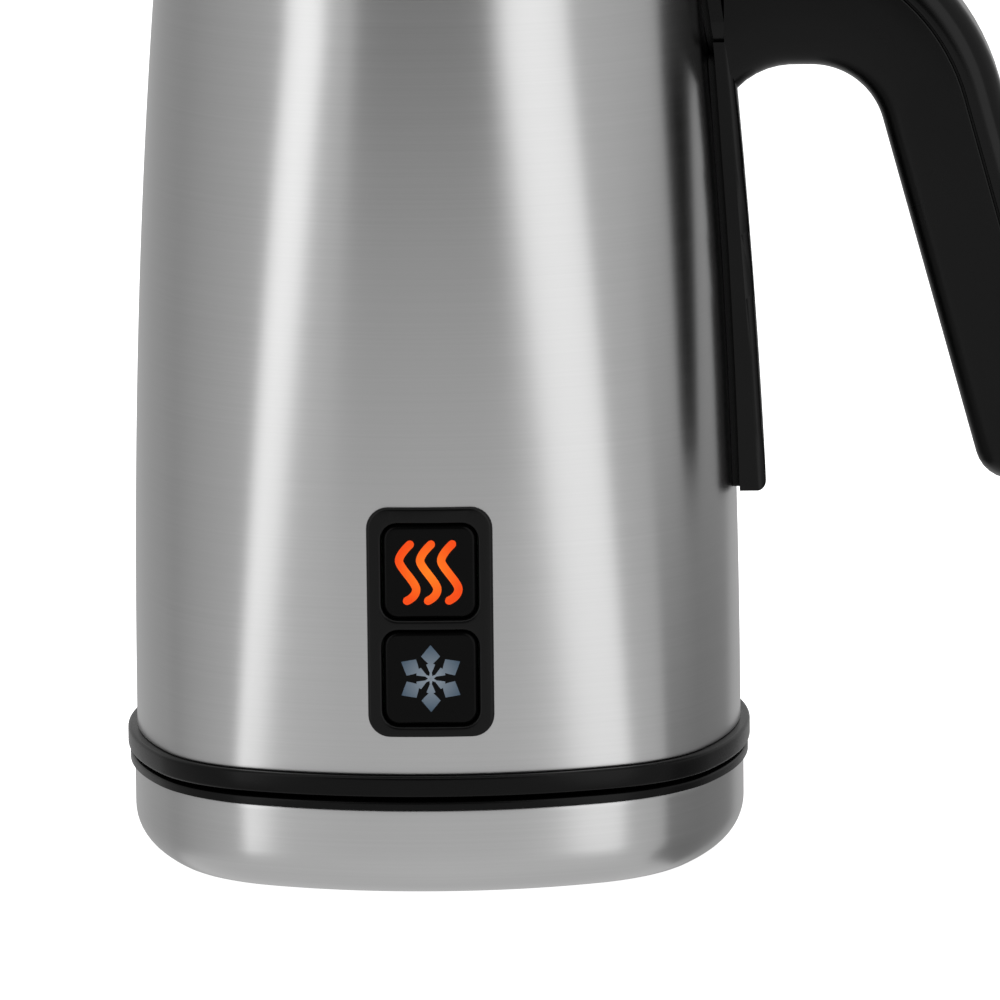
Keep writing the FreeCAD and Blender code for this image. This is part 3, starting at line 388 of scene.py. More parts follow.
def surface_x(half, square, grow, y):
    """How far out the +X side of the section is at a given y, in millimetres."""
    side = half * (1 + square) + grow
    corner = half * (1 - square) + grow
    inset = 2 * half * square * math.sin(JOIN)
    if abs(y) <= side * math.sin(JOIN):
        return -half * square + math.sqrt(side ** 2 - y ** 2)
    return inset + math.sqrt(corner ** 2 - (abs(y) - inset) ** 2)


def arc(radius, start, end, steps):
    """Offsets along an arc, in pairs, from start to end in degrees."""
    angles = [math.radians(start + (end - start) * step / steps) for step in range(steps + 1)]
    return [(radius * math.cos(angle), radius * math.sin(angle)) for angle in angles]


# %% [markdown]
# ## The jug's wall
# The real wall is a drawn steel tube: a rounded square at the foot, a circle at the neck, then a
# flare with a pouring beak pressed into it and a rolled rim. The rings climb the outside, go over
# the rim and come down the inside, and the last joins the first, so the wall is closed.
# A small rounded hem at the foot catches the light as the folded edge of the real sheet does.

# %% Heights and widths of the wall
foot_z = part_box("jug_shell")[0].z / MM
rim_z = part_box("jug_shell")[1].z / MM
foot_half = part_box("jug_shell")[1].y / MM
neck_z = 158.0
neck_half = 46.36
round_z = 146.0
rim_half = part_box("lid_cover")[1].y / MM
foot_square = 0.475
taper_power = 2.2
flare_power = 1.6
wall = 0.8
beak_z = 153.0
beak_reach = 8.6
beak_power = 1.25
beak_spread = 0.27
print("wall from", round(foot_z, 2), "to", round(rim_z, 2), "half-width", round(foot_half, 2))


def jug_half(z):
    """Half-width of the jug at height z."""
    if z <= neck_z:
        share = max((z - foot_z) / (neck_z - foot_z), 0.0)
        return foot_half - (foot_half - neck_half) * share ** taper_power
    share = (z - neck_z) / (rim_z - neck_z)
    return neck_half + (rim_half - neck_half) * share ** flare_power


def jug_square(z):
    """Squareness of the jug at height z."""
    share = min(max((z - foot_z) / (round_z - foot_z), 0.0), 1.0)
    return foot_square * (1 - share)


def jug_ring_points(z, grow):
    """Ring of the wall at height z, with the beak drawn out of its -X side."""
    ring = section(jug_half(z), jug_square(z), grow, z)
    share = max((z - beak_z) / (rim_z - beak_z), 0.0)
    for point in ring:
        from_beak = math.atan2(point.y, -point.x)
        drawn = share ** beak_power * math.exp(-(from_beak / beak_spread) ** 2)
        point.x -= beak_reach * drawn * MM
    return ring


# %% Model the wall
hem = 0.35
ring_step = 3.0
bead = 0.75
outside = [(foot_z + hem + rise, run - hem) for run, rise in arc(hem, -90, 0, 4)]
climb = foot_z + 2 * hem
while climb < rim_z - ring_step:
    outside.append((climb, 0.0))
    climb += ring_step
outside.append((rim_z - 2 * bead - 0.6, 0.0))
rolled = [(rim_z - bead + rise, run) for run, rise in arc(bead, -80, 150, 9)]
inside = [(z, -wall) for z in (rim_z - 2.2, rim_z - 6, rim_z - 10, rim_z - 15, rim_z - 19)]
inside += [(z, -wall) for z in (140.0, 120.0, 100.0, 80.0, 60.0, 40.0, foot_z + 0.4)]
bm = bmesh.new()
extrude_rings(bm, [jug_ring_points(z, grow) for z, grow in outside + rolled + inside], loop=True)
jug_wall = make_piece("jug_wall", bm, "jug", "brushed_steel", ["jug_shell"], 50.0)


# %% [markdown]
# ## Cutting openings
# A Boolean modifier takes one closed mesh out of another. The cutter is a cube with its edges
# bevelled to the opening's corners; it is deleted once the modifier's result is kept.


# %% The cutting helper
def cut(piece, cutter):
    """Takes the closed bmesh cutter out of piece and keeps the result as piece's mesh."""
    mesh = bpy.data.meshes.new("cutter")
    cutter.to_mesh(mesh)
    cutter.free()
    tool = bpy.data.objects.new("cutter", mesh)
    bpy.context.scene.collection.objects.link(tool)
    boolean = piece.modifiers.new("cut", "BOOLEAN")
    boolean.operation = "DIFFERENCE"
    boolean.solver = "EXACT"
    boolean.object = tool
    depsgraph = bpy.context.evaluated_depsgraph_get()
    result = bpy.data.meshes.new_from_object(piece.evaluated_get(depsgraph))
    piece.modifiers.clear()
    old = piece.data
    piece.data = result
    result.name = piece.name
    bpy.data.meshes.remove(old)
    bpy.data.objects.remove(tool)
    bpy.data.meshes.remove(mesh)
    print(piece.name, "after the cut:", len(result.polygons), "faces")


def rounded_block(width, tall, corner, x, z, y0, y1):
    """Closed block along Y whose four long edges are rounded, sizes in millimetres."""
    bm = bmesh.new()
    bmesh.ops.create_cube(bm, size=1.0)
    bmesh.ops.scale(bm, vec=(width * MM, (y1 - y0) * MM, tall * MM), verts=bm.verts)
    bmesh.ops.translate(bm, vec=(x * MM, (y0 + y1) / 2 * MM, z * MM), verts=bm.verts)
    long_edges = [edge for edge in bm.edges if abs(edge.verts[0].co.y - edge.verts[1].co.y) > 1e-5]
    bmesh.ops.bevel(bm, geom=long_edges, offset=corner * MM, affect="EDGES", segments=8,
                    profile=0.5, material=-1)
    bmesh.ops.recalc_face_normals(bm, faces=bm.faces)
    return bm


# %% Cut the wall for the button panel
bezel_low, bezel_high = (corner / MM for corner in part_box("panel_bezel"))
bezel_width = bezel_high.x - bezel_low.x
bezel_tall = bezel_high.z - bezel_low.z
bezel_z = (bezel_high.z + bezel_low.z) / 2
lap = 1.0
cut(jug_wall, rounded_block(bezel_width - 2 * lap, bezel_tall - 2 * lap, 2.7, 0, bezel_z, -60, -40))

# %% [markdown]
# ## The stand's pan
# A shallow pan is pressed from the same sheet, with a wide radius under it and a hem on top. Its
# rings start at the opening in its underside, roll round the radius, climb, turn over the hem and
# come back down inside.

# %% Model the pan
pan_low, pan_high = (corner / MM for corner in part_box("base_shell"))
pan_half = pan_high.y
base_square = 0.41
base_round = 7.4
inner_round = base_round - wall
bend_z = pan_low.z + base_round
opening = -21.4
pan_profile = [(opening, pan_low.z + wall), (opening, pan_low.z), (-17.0, pan_low.z), (-11.0, pan_low.z)]
pan_profile += [(run - base_round, bend_z + rise) for run, rise in arc(base_round, -90, 0, 14)]
pan_profile += [(0.0, pan_low.z + climb) for climb in (10.0, 12.5, 14.3)]
pan_profile += [(run - hem, pan_high.z - hem + rise) for run, rise in arc(hem, 0, 90, 4)]
pan_profile += [(-wall, pan_high.z), (-wall, bend_z)]
pan_profile += [(run - base_round, bend_z + rise) for run, rise in arc(inner_round, 0, -90, 8)]
bm = bmesh.new()
extrude_rings(bm, [section(pan_half, base_square, grow, z) for grow, z in pan_profile], loop=True)
stand_pan = make_piece("stand_pan", bm, "base", "brushed_steel", ["base_shell"], 50.0)
inlet_z = (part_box("cord_inlet_bush")[0].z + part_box("cord_inlet_bush")[1].z) / 2 / MM
cut(stand_pan, rounded_block(9.8, 9.8, 4.85, 0, inlet_z, 40, 60))

# %% [markdown]
# ## The black ring and the seat
# The ring under the jug stands a little proud of the steel, and the stand's lip answers it across
# a parting groove less than a millimetre high. Both are moulded, with edges rounded by half a
# millimetre, which draws the thin pale line that the eye reads as an edge.

# %% Model the ring and the seat
ring_low, ring_high = (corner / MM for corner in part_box("jug_ring"))
ring_half = ring_high.y
ring_square = 0.445
ring_edge = 0.55
ring_inner = -7.6
ring_rebate = -2.6
ring_profile = [(ring_inner, foot_z - 0.1), (ring_rebate, foot_z - 0.1), (ring_rebate + 0.05, foot_z)]
ring_profile += [(run - ring_edge, foot_z - ring_edge + rise) for run, rise in arc(ring_edge, 90, 0, 4)]
ring_profile += [(run - ring_edge, ring_low.z + ring_edge + rise)
                 for run, rise in arc(ring_edge, 0, -90, 4)]
ring_profile += [(ring_inner, ring_low.z)]
bm = bmesh.new()
extrude_rings(bm, [section(ring_half, ring_square, grow, z) for grow, z in ring_profile], loop=True)
make_piece("foot_ring", bm, "jug", "black_plastic", ["jug_ring"], 50.0)

seat_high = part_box("base_seat")[1] / MM
lip_half = seat_high.y
lip_z = pan_high.z + 1.5
lip_edge = 0.45
lip_inset = 1.8
land_half = 48.5
land_edge = 0.3
tower_hole = 11.15
under_z = pan_high.z - 0.6
rings = [section(lip_half, base_square, -lip_inset, under_z),
         section(lip_half, base_square, -lip_inset, pan_high.z),
         section(lip_half, base_square, 0.0, pan_high.z + 0.05)]
rings += [section(lip_half, base_square, run - lip_edge, lip_z - lip_edge + rise)
          for run, rise in arc(lip_edge, 0, 90, 4)]
rings += [section(land_half, base_square, grow, z)
          for grow, z in ((0.3, lip_z), (0.0, lip_z + 0.15), (-0.05, seat_high.z - 0.25),
                          (-land_edge, seat_high.z))]
rings += [section(half, base_square * half / land_half, 0.0, seat_high.z) for half in (40.0, 30.0, 20.0)]
rings += [section(tower_hole, 0.0, grow, z)
          for grow, z in ((land_edge, seat_high.z), (0.0, seat_high.z - land_edge), (0.0, under_z))]
bm = bmesh.new()
extrude_rings(bm, rings, loop=True)
make_piece("seat_top", bm, "base", "black_plastic", ["base_seat"], 50.0)

# %% [markdown]
# ## The button panel
# The frame is one moulding with two square wells. Its front is an outline with two holes, which
# triangle_fill turns into a face; the face is extruded to the frame's thickness, its rims are
# bevelled, and thin upright slices let the flat moulding bend to the curve of the steel.


# %% Outlines and the bend
def rounded_outline(width, tall, corner, steps=6):
    """Points of a rounded rectangle about the origin, anticlockwise, in millimetres."""
    points = []
    for x_side, z_side, start in ((1, 1, 0), (-1, 1, 90), (-1, -1, 180), (1, -1, 270)):
        for run, rise in arc(corner, start, start + 90, steps):
            points.append((x_side * (width / 2 - corner) + run, z_side * (tall / 2 - corner) + rise))
    return points


def front_y(x, z, proud):
    """Y of the jug's front at (x, z), moved out by proud, in millimetres."""
    return -surface_x(jug_half(z), jug_square(z), proud, x)


# %% Model the panel frame
front_proud = 0.7
button_width = 15.8
button_tall = 15.9
button_gap = 0.25
frame_thick = 3.2
slice_step = 1.0
centres = [(sum(corner.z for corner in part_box(name)) / 2) / MM for name in ("hot_button", "cold_button")]
print("button centres at", [round(z, 2) for z in centres])


def upright(outline, z):
    """An outline stood up at y = 0 about height z, in metres."""
    return [Vector((x, 0.0, z + rise)) * MM for x, rise in outline]


bm = bmesh.new()
add_loop(bm, upright(rounded_outline(bezel_width, bezel_tall, 3.7, 8), bezel_z))
well = rounded_outline(button_width + 2 * button_gap, button_tall + 2 * button_gap, 2.75, 6)
for centre in centres:
    add_loop(bm, upright(well, centre))
bmesh.ops.triangle_fill(bm, use_beauty=True, use_dissolve=False, edges=bm.edges)
front = list(bm.faces)
made = bmesh.ops.extrude_face_region(bm, geom=front)["geom"]
back = [item for item in made if isinstance(item, bmesh.types.BMVert)]
bmesh.ops.translate(bm, vec=(0, frame_thick * MM, 0), verts=back)
bmesh.ops.recalc_face_normals(bm, faces=bm.faces)
rims = [edge for edge in bm.edges if max(abs(vert.co.y) for vert in edge.verts) < 1e-6
        and any(abs(face.normal.y) < 0.5 for face in edge.link_faces)]
bmesh.ops.bevel(bm, geom=rims, offset=0.55 * MM, affect="EDGES", segments=4, profile=0.5, material=-1,
                offset_type="OFFSET")
slice_x = -bezel_width / 2 + slice_step
while slice_x < (bezel_width - slice_step) / 2:
    bmesh.ops.bisect_plane(bm, geom=list(bm.verts) + list(bm.edges) + list(bm.faces), dist=1e-7,
                           plane_co=(slice_x * MM, 0, 0), plane_no=(1, 0, 0))
    slice_x += slice_step
for vert in bm.verts:
    vert.co.y += front_y(vert.co.x / MM, vert.co.z / MM, front_proud) * MM
make_piece("panel_frame", bm, "jug", "satin_black", ["panel_bezel"], 40.0)


# %% [markdown]
# ## The two buttons
# Each cap is a rounded square whose front edge rolls over by a millimetre and whose face is very
# slightly dished for the fingertip. Rings go from the hidden back to the front, round the edge,
# and close in over the face.


# %% Model the button caps
cap_proud = 0.3
cap_depth = 4.0
cap_roll = 0.8
cap_dish = 0.15


def button_cap(name, body, centre):
    """Cap with its edge rolled over, following the panel's curve."""
    steps = [(0.0, cap_depth), (0.0, cap_roll)]
    steps += [(cap_roll - run, cap_roll - rise) for run, rise in arc(cap_roll, 0, 90, 5)][1:]
    steps += [(cap_roll + inset, depth) for inset, depth in
              ((0.8, 0.03), (1.8, 0.08), (3.2, 0.12), (5.0, 0.14), (6.2, cap_dish))]
    rings = []
    for inset, depth in steps:
        corner = max(2.5 - inset, 0.4)
        ring = []
        for x, rise in rounded_outline(button_width - 2 * inset, button_tall - 2 * inset, corner):
            z = centre + rise
            ring.append(Vector((x, front_y(x, z, cap_proud) + depth, z)) * MM)
        rings.append(ring)
    bm = bmesh.new()
    extrude_rings(bm, rings, cap_first=True, cap_last=True)
    return make_piece(name, bm, body, "button_black", [body], 40.0)


button_cap("hot_button_cap", "hot_button", centres[0])
button_cap("cold_button_cap", "cold_button", centres[1])


# %% [markdown]
# ## The printed signs
# Three waves mean heat and a snowflake means cold. They are printed, so each sign is a thin skin a
# few hundredths of a millimetre above its cap. A wave is a ribbon drawn along a smooth curve; the
# snowflake is one arm of two kites, turned six times. The ink has a painted glow.


# %% Sign colours and their painted glow
def ink_with_painted_glow(name, inner, outer, centre, reach, glow):
    """Ink whose colour runs from inner to outer with the distance from the sign's middle; glow adds a
    painted glow in that colour.
    """
    material, tree, output = new_material(name)
    place = add_node(tree, "ShaderNodeTexCoord").outputs["Object"]
    distance = add_node(tree, "ShaderNodeVectorMath", {0: place, 1: centre}, operation="DISTANCE")
    fine = noise(tree, 3000.0, 1.0)
    tone = add_node(tree, "ShaderNodeMapRange", {"Value": distance.outputs["Value"], "From Min": 0.0,
                                                 "From Max": reach})
    ramp = add_node(tree, "ShaderNodeValToRGB", {"Fac": tone.outputs[0]})
    ramp.color_ramp.elements[0].color = linear(inner)
    ramp.color_ramp.elements[1].color = linear(outer)
    shader = add_node(tree, "ShaderNodeBsdfPrincipled",
                      {"Base Color": ramp.outputs["Color"], "Roughness": spread(tree, fine, 0.35, 0.5),
                       "Specular IOR Level": 0.12, "Emission Color": ramp.outputs["Color"],
                       "Emission Strength": glow})
    tree.links.new(shader.outputs[0], output.inputs["Surface"])
    return material


def on_cap(x, rise, centre, lift=0.04):
    """A point just above a cap's face."""
    z = centre + rise
    edge_distance = min(button_width / 2 - abs(x), button_tall / 2 - abs(rise))
    dish = cap_dish * min(max((edge_distance - cap_roll) / 5.0, 0.0), 1.0)
    return Vector((x, front_y(x, z, cap_proud) + dish - lift, z)) * MM


# %% Model the heat waves
def wave_path():
    """Centre line of the middle wave: up from its lower hook to its upper end, in millimetres."""
    knots = [((-0.80, -5.13), (0.20, -4.80)), ((1.42, -3.02), (1.52, -1.90)),
             ((-1.42, 1.85), (-1.47, 2.95)), ((0.95, 5.12), (1.45, 5.50))]
    path = []
    for (start, start_handle), (end, end_handle) in zip(knots, knots[1:]):
        back = (2 * end[0] - end_handle[0], 2 * end[1] - end_handle[1])
        points = interpolate_bezier(Vector(start).to_3d(), Vector(start_handle).to_3d(),
                                    Vector(back).to_3d(), Vector(end).to_3d(), 14)
        path += [point.to_2d() for point in points[:-1]]
    return path + [Vector(knots[-1][0])]


def ribbon(bm, path, width, shift, centre):
    """Strip along path with round ends, laid on a cap."""
    length = [0.0]
    for before, after in zip(path, path[1:]):
        length.append(length[-1] + (after - before).length)
    total = length[-1]
    rails = []
    for index, point in enumerate(path):
        ahead = path[min(index + 1, len(path) - 1)] - path[max(index - 1, 0)]
        across = Vector((-ahead.y, ahead.x)).normalized()
        from_end = min(length[index], total - length[index])
        half = width / 2
        if from_end < half:
            half = math.sqrt(max(half ** 2 - (half - from_end) ** 2, (0.25 * half) ** 2))
        rails.append((point + across * half, point - across * half))
    last = [bm.verts.new(on_cap(side.x + shift, side.y, centre)) for side in rails[0]]
    edge = bm.edges.new(last)
    for left, right in rails[1:]:
        made = bmesh.ops.extrude_edge_only(bm, edges=[edge])["geom"]
        fresh = [item for item in made if isinstance(item, bmesh.types.BMVert)]
        edge = [item for item in made if isinstance(item, bmesh.types.BMEdge)
                and all(vert in fresh for vert in item.verts)][0]
        edge.verts[0].co = on_cap(left.x + shift, left.y, centre)
        edge.verts[1].co = on_cap(right.x + shift, right.y, centre)
        if (edge.verts[0].co - last[0].co).length > (edge.verts[1].co - last[0].co).length:
            edge.verts[0].co, edge.verts[1].co = edge.verts[1].co.copy(), edge.verts[0].co.copy()
        last = list(edge.verts)


def finish_sign(name, bm, body, material):
    """A sign's thin skin, facing away from the jug."""
    for face in bm.faces:
        face.normal_update()
        if face.normal.y > 0:
            face.normal_flip()
    mesh = bpy.data.meshes.new(name)
    bm.to_mesh(mesh)
    bm.free()
    piece = bpy.data.objects.new(name, mesh)
    bpy.context.scene.collection.objects.link(piece)
    mesh.materials.append(material)
    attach(piece, body)
    print(name, len(mesh.polygons), "faces")
    return piece


hot_middle = on_cap(0.0, 0.0, centres[0])
# The last number of each ink is the strength of its painted glow.
ember = ink_with_painted_glow("orange ink with painted glow", "#FF7F1E", "#F04A10", hot_middle, 5.8 * MM, 0.22)
stroke = 1.40
bm = bmesh.new()
for shift in (-3.68, -0.15, 3.38):
    ribbon(bm, wave_path(), stroke, shift, centres[0])
finish_sign("heat_waves", bm, "hot_button", ember)


# %% Model the snowflake
def flat_shape(bm, outline, turn, centre):
    """Adds one flat polygon of the sign, turned about the sign's middle."""
    verts = []
    for along, across in outline:
        x = along * math.sin(turn) + across * math.cos(turn)
        rise = along * math.cos(turn) - across * math.sin(turn)
        verts.append(bm.verts.new(on_cap(x, rise, centre)))
    bmesh.ops.contextual_create(bm, geom=verts)


outer_kite = [(5.7, 0.0), (4.75, 0.8), (3.75, 1.6), (3.0, 0.9), (2.4, 0.26), (2.4, -0.26),
              (3.0, -0.9), (3.75, -1.6), (4.75, -0.8)]
inner_kite = [(2.75, 0.0), (2.35, 0.75), (1.75, 0.5), (0.95, 0.16), (0.95, -0.16), (1.75, -0.5),
              (2.35, -0.75)]
stem = [(1.0, 0.16), (0.0, 0.3), (0.0, -0.3), (1.0, -0.16)]
cold_middle = on_cap(0.0, 0.0, centres[1])
frost = ink_with_painted_glow("slate blue ink with painted glow", "#8B959F", "#465767", cold_middle, 5.6 * MM, 0.04)
bm = bmesh.new()
for arm in range(6):
    for outline in (outer_kite, inner_kite, stem):
        flat_shape(bm, outline, arm * math.pi / 3, centres[1])
finish_sign("snowflake", bm, "cold_button", frost)

# %% [markdown]
# ## The handle
# Two mouldings meet along a fine seam: a grip that the fingers close on, and a cover on the palm
# side. Both follow one sweep. A station is a pair of points, one on the inner line and one on the
# outer; the cross-section between them is a rounded box with slightly crowned sides.

# %% Stations along the handle
handle_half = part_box("handle_grip")[1].y / MM
lean = math.radians(15.2)
grip_depth = 20.9
arm_under = 135.75
arm_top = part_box("handle_cover")[1].z / MM
bend_in = 12.6
arm_level = 3.1
root_bend = 13.3
bend_out = 41.0
foot_round = 7.0
out = Vector((math.cos(lean), 0.0, math.sin(lean)))
down = Vector((math.sin(lean), 0.0, -math.cos(lean)))
inner_line = out.dot(Vector((84.1, 0.0, 100.0)))
outer_line = inner_line + grip_depth
foot_along = down.dot(Vector((84.1, 0.0, 100.0))) + 100.0 - 60.6


def bend_centre(line, bend, level):
    """Centre of the bend between the level line and the leaning line."""
    z = level - bend
    return Vector(((line - bend - out.z * z) / out.x, 0.0, z))


centre_in = bend_centre(inner_line, bend_in, arm_under)
centre_out = bend_centre(outer_line, bend_out, arm_top)


def handle_stations():
    """List of (inner point, outer point, inset), from inside the saddle to the foot."""
    stations = []
    root = 50.0
    for step in range(9):
        share = step / 8
        inner = Vector((root + (centre_in.x - root) * share, 0.0, 0.0))
        inner.z = root_under(inner.x)
        outer = Vector((root + (centre_out.x - root) * share, 0.0, arm_top))
        stations.append((inner, outer, 0.0))
    for step in range(1, 21):
        angle = math.pi / 2 + (lean - math.pi / 2) * step / 20
        ray = Vector((math.cos(angle), 0.0, math.sin(angle)))
        stations.append((centre_in + ray * bend_in, centre_out + ray * bend_out, 0.0))
    start_in, start_out = stations[-1][0], stations[-1][1]
    end_along = foot_along - foot_round
    end_in = out * inner_line + down * end_along
    end_out = out * outer_line + down * end_along
    for step in range(1, 19):
        share = step / 18
        stations.append((start_in.lerp(end_in, share), start_out.lerp(end_out, share), 0.0))
    for step in range(1, 9):
        angle = math.pi / 2 * step / 8
        shift = down * foot_round * math.sin(angle)
        inset = foot_round * (1 - math.cos(angle))
        stations.append((end_in + shift, end_out + shift, min(inset, 6.9)))
    return stations


def root_under(x):
    """Underside of the arm near the jug: it curves down to meet the spine."""
    run = max(centre_in.x - arm_level - x, 0.0)
    return arm_under - root_bend + math.sqrt(max(root_bend ** 2 - run ** 2, 0.0))


def box_section(inner, outer, low, high, low_round, high_round, half):
    """Ring of a rounded box between two depths (from the inner point), sides a little crowned."""
    across = (outer - inner).normalized()
    depth = (outer - inner).length
    outline = []
    corners = ((high, half, high_round, 0), (low, half, low_round, 90),
               (low, -half, low_round, 180), (high, -half, high_round, 270))
    for edge_u, edge_v, radius, start in corners:
        centre_u = edge_u - radius if start in (0, 270) else edge_u + radius
        centre_v = edge_v - radius if edge_v > 0 else edge_v + radius
        for run, rise in arc(radius, start, start + 90, 6):
            outline.append((centre_u + run, centre_v + rise))
    ring = []
    for index, (u, v) in enumerate(outline):
        following = outline[(index + 1) % len(outline)]
        for share in ((0.0, 0.34, 0.67) if index % 7 == 6 else (0.0,)):
            along = u + (following[0] - u) * share
            crown = 1 - 0.03 * (2 * along / depth - 1) ** 2
            side = (v + (following[1] - v) * share) * crown
            ring.append((inner + across * along + Vector((0, side, 0))) * MM)
    return ring


# %% Model the grip and the cover
cover_depth = 6.5
seam = 0.35
tongue_inset = 1.0
tongue_reach = 1.5
inner_soft = 4.5
outer_soft = 5.0
grip_rings = []
tongue_rings = []
cover_rings = []
for inner, outer, inset in handle_stations():
    depth = (outer - inner).length
    half = handle_half - inset * 0.75
    seam_at = depth - cover_depth
    soft = max(min(inner_soft, seam_at - inset - 0.5), 0.5)
    grip_rings.append(box_section(inner, outer, inset, seam_at, soft, 0.35, half))
    tongue_rings.append(box_section(inner, outer, seam_at - tongue_reach, seam_at + tongue_reach,
                                    0.2, 0.2, half - tongue_inset))
    cover_top = max(depth - inset, seam_at + seam + 0.6)
    thick = cover_top - seam_at - seam
    soft = min(outer_soft, thick * 0.85)
    cover_rings.append(box_section(inner, outer, seam_at + seam, cover_top, 0.25, soft, half))
print("grip ring", len(grip_rings[0]), {len(ring) for ring in grip_rings})
print("cover ring", {len(ring) for ring in cover_rings})
bm = bmesh.new()
extrude_rings(bm, grip_rings, cap_first=True, cap_last=True)
extrude_rings(bm, tongue_rings, cap_first=True, cap_last=True)
make_piece("grip_moulding", bm, "jug", "satin_black", ["handle_grip"], 45.0)
bm = bmesh.new()
extrude_rings(bm, cover_rings, cap_first=True, cap_last=True)
make_piece("cover_moulding", bm, "jug", "satin_black", ["handle_cover"], 45.0, finish="cover_black")

# %% [markdown]
# ## The spring round the whisk's disc
# Milk is frothed by a fine steel wire wound into a long spring, whose two ends are joined so that it
# sits round the disc as a ring. The wire's centre is a circle that travels round a circle: one
# angle goes round the whisk, and a second, many times faster, goes round the spring's own tube.

# %% Wind the wire
coil_low, coil_high = (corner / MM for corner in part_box("whisk_coil"))
wire = 0.28
turns = 72
steps = 11
tube = (coil_high.z - coil_low.z) / 2 - wire
swing = (coil_high.x - coil_low.x) / 2 - tube - wire
middle = (coil_low + coil_high) / 2
wire_section = [(wire * math.cos(math.pi * index / 3), wire * math.sin(math.pi * index / 3))
                for index in range(6)]


def wire_point(step):
    """Point of the wire's centre."""
    turn = 2 * math.pi * step / (turns * steps)
    roll = 2 * math.pi * step / steps
    reach = swing + tube * math.cos(roll)
    return middle + Vector((reach * math.cos(turn), reach * math.sin(turn), tube * math.sin(roll)))


def wire_ring(step):
    """Ring of the wire's skin, square to the way that the wire runs."""
    here = wire_point(step)
    ahead = (wire_point(step + 1) - wire_point(step - 1)).normalized()
    turn = 2 * math.pi * step / (turns * steps)
    hub = middle + Vector((swing * math.cos(turn), swing * math.sin(turn), 0.0))
    radial = (here - hub).normalized()
    outward = (radial - ahead * radial.dot(ahead)).normalized()
    sideways = ahead.cross(outward)
    return [(here + outward * run + sideways * rise) * MM for run, rise in wire_section]


bm = bmesh.new()
extrude_rings(bm, [wire_ring(step) for step in range(turns * steps)], loop=True)
make_piece("whisk_spring", bm, "whisk", "whisk_steel", ["whisk_coil"], 80.0, 1e-7)

# %% [markdown]
# ## Light
# Two tall soft lamps stand at the front left and front right, which is how brushed steel is lit:
# each becomes one bright stripe down the jug. A broad lamp overhead lights the black parts' upper
# edges, and a small one behind the handle draws a line along the cover.


# %% Lamps
def soft_lamp(name, azimuth, distance, height, width, tall, power, shape="RECTANGLE"):
    """Area lamp facing the jug's axis."""
    data = bpy.data.lights.new(name, "AREA")
    data.shape = shape
    data.size = width
    data.size_y = tall
    data.energy = power
    lamp = bpy.data.objects.new(name, data)
    bpy.context.scene.collection.objects.link(lamp)
    turn = math.radians(azimuth)
    lamp.location = (distance * math.sin(turn), -distance * math.cos(turn), height)
    toward = Vector((0, 0, height)) - Vector(lamp.location)
    lamp.rotation_euler = toward.to_track_quat("-Z", "Y").to_euler()
    return lamp


soft_lamp("left_strip", -50.8, 0.9, 0.46, 0.30, 1.4, 1.62, "ELLIPSE")
soft_lamp("right_strip", 44.2, 0.9, 0.44, 0.50, 1.4, 2.00, "ELLIPSE")
overhead = soft_lamp("overhead", 0, 0.25, 1.2, 1.0, 1.0, 3.0)
overhead.rotation_euler = (0.0, 0.0, 0.0)
edge_lamp = soft_lamp("edge", 121, 0.95, 1.0, 0.3, 0.3, 3.0)
handle_top = Vector((0.08, 0, 0.15))
edge_lamp.rotation_euler = (handle_top - edge_lamp.location).to_track_quat("-Z", "Y").to_euler()

# %% [markdown]
# ## Surroundings
# The world shows white to the camera. To reflections it is a ring of greys, brightest in front and
# dim behind, so that the sides of the jug fall off as they do in a studio; below the horizon it is
# the white of the table. The floor takes a faint contact shadow.

# %% World
diffuse_level = 0.55
table_level = 0.98
stops = [(-180, 0.26), (-150, 0.31), (-125, 0.50), (-100, 0.68), (-70, 0.85), (-50, 0.90), (-30, 1.00),
         (0, 1.04), (30, 1.02), (60, 0.97), (85, 0.88), (105, 0.76), (130, 0.50), (155, 0.32), (179, 0.26)]
world = bpy.data.worlds.new("studio")
bpy.context.scene.world = world
world.use_nodes = True
tree = world.node_tree
tree.nodes.clear()
rays = add_node(tree, "ShaderNodeLightPath")
place = add_node(tree, "ShaderNodeTexCoord").outputs["Generated"]
parts = add_node(tree, "ShaderNodeSeparateXYZ", {0: place})
frontward = add_node(tree, "ShaderNodeMath", {0: parts.outputs["Y"], 1: -1.0}, operation="MULTIPLY")
facing = add_node(tree, "ShaderNodeMath", {0: parts.outputs["X"], 1: frontward.outputs[0]},
                  operation="ARCTAN2")
around = add_node(tree, "ShaderNodeMapRange", {"Value": facing.outputs[0], "From Min": -math.pi,
                                               "From Max": math.pi})
greys = add_node(tree, "ShaderNodeValToRGB", {"Fac": around.outputs[0]})
ramp = greys.color_ramp
ramp.elements[0].position = 0.0
ramp.elements[1].position = 1.0
for angle, grey in stops[1:-1]:
    ramp.elements.new((angle + 180) / 360)
for element, (angle, grey) in zip(ramp.elements, stops):
    element.color = (grey, grey, grey, 1.0)
table = add_node(tree, "ShaderNodeMapRange",
                 {"Value": parts.outputs["Z"], "From Min": -0.30, "From Max": -0.60, "To Min": 0.0,
                  "To Max": table_level}, interpolation_type="SMOOTHSTEP")
mirrored = add_node(tree, "ShaderNodeMath", {0: greys.outputs[0], 1: table.outputs[0]}, operation="MAXIMUM")
glossy = add_node(tree, "ShaderNodeMath", {0: rays.outputs["Is Glossy Ray"], 1: mirrored.outputs[0]},
                  operation="MULTIPLY")
seen = add_node(tree, "ShaderNodeMath", {0: rays.outputs["Is Camera Ray"],
                                         1: rays.outputs["Is Transmission Ray"]}, operation="MAXIMUM")
sharp = add_node(tree, "ShaderNodeMath", {0: seen.outputs[0], 1: glossy.outputs[0]}, operation="MAXIMUM")
level = add_node(tree, "ShaderNodeMath", {0: sharp.outputs[0], 1: diffuse_level}, operation="MAXIMUM")
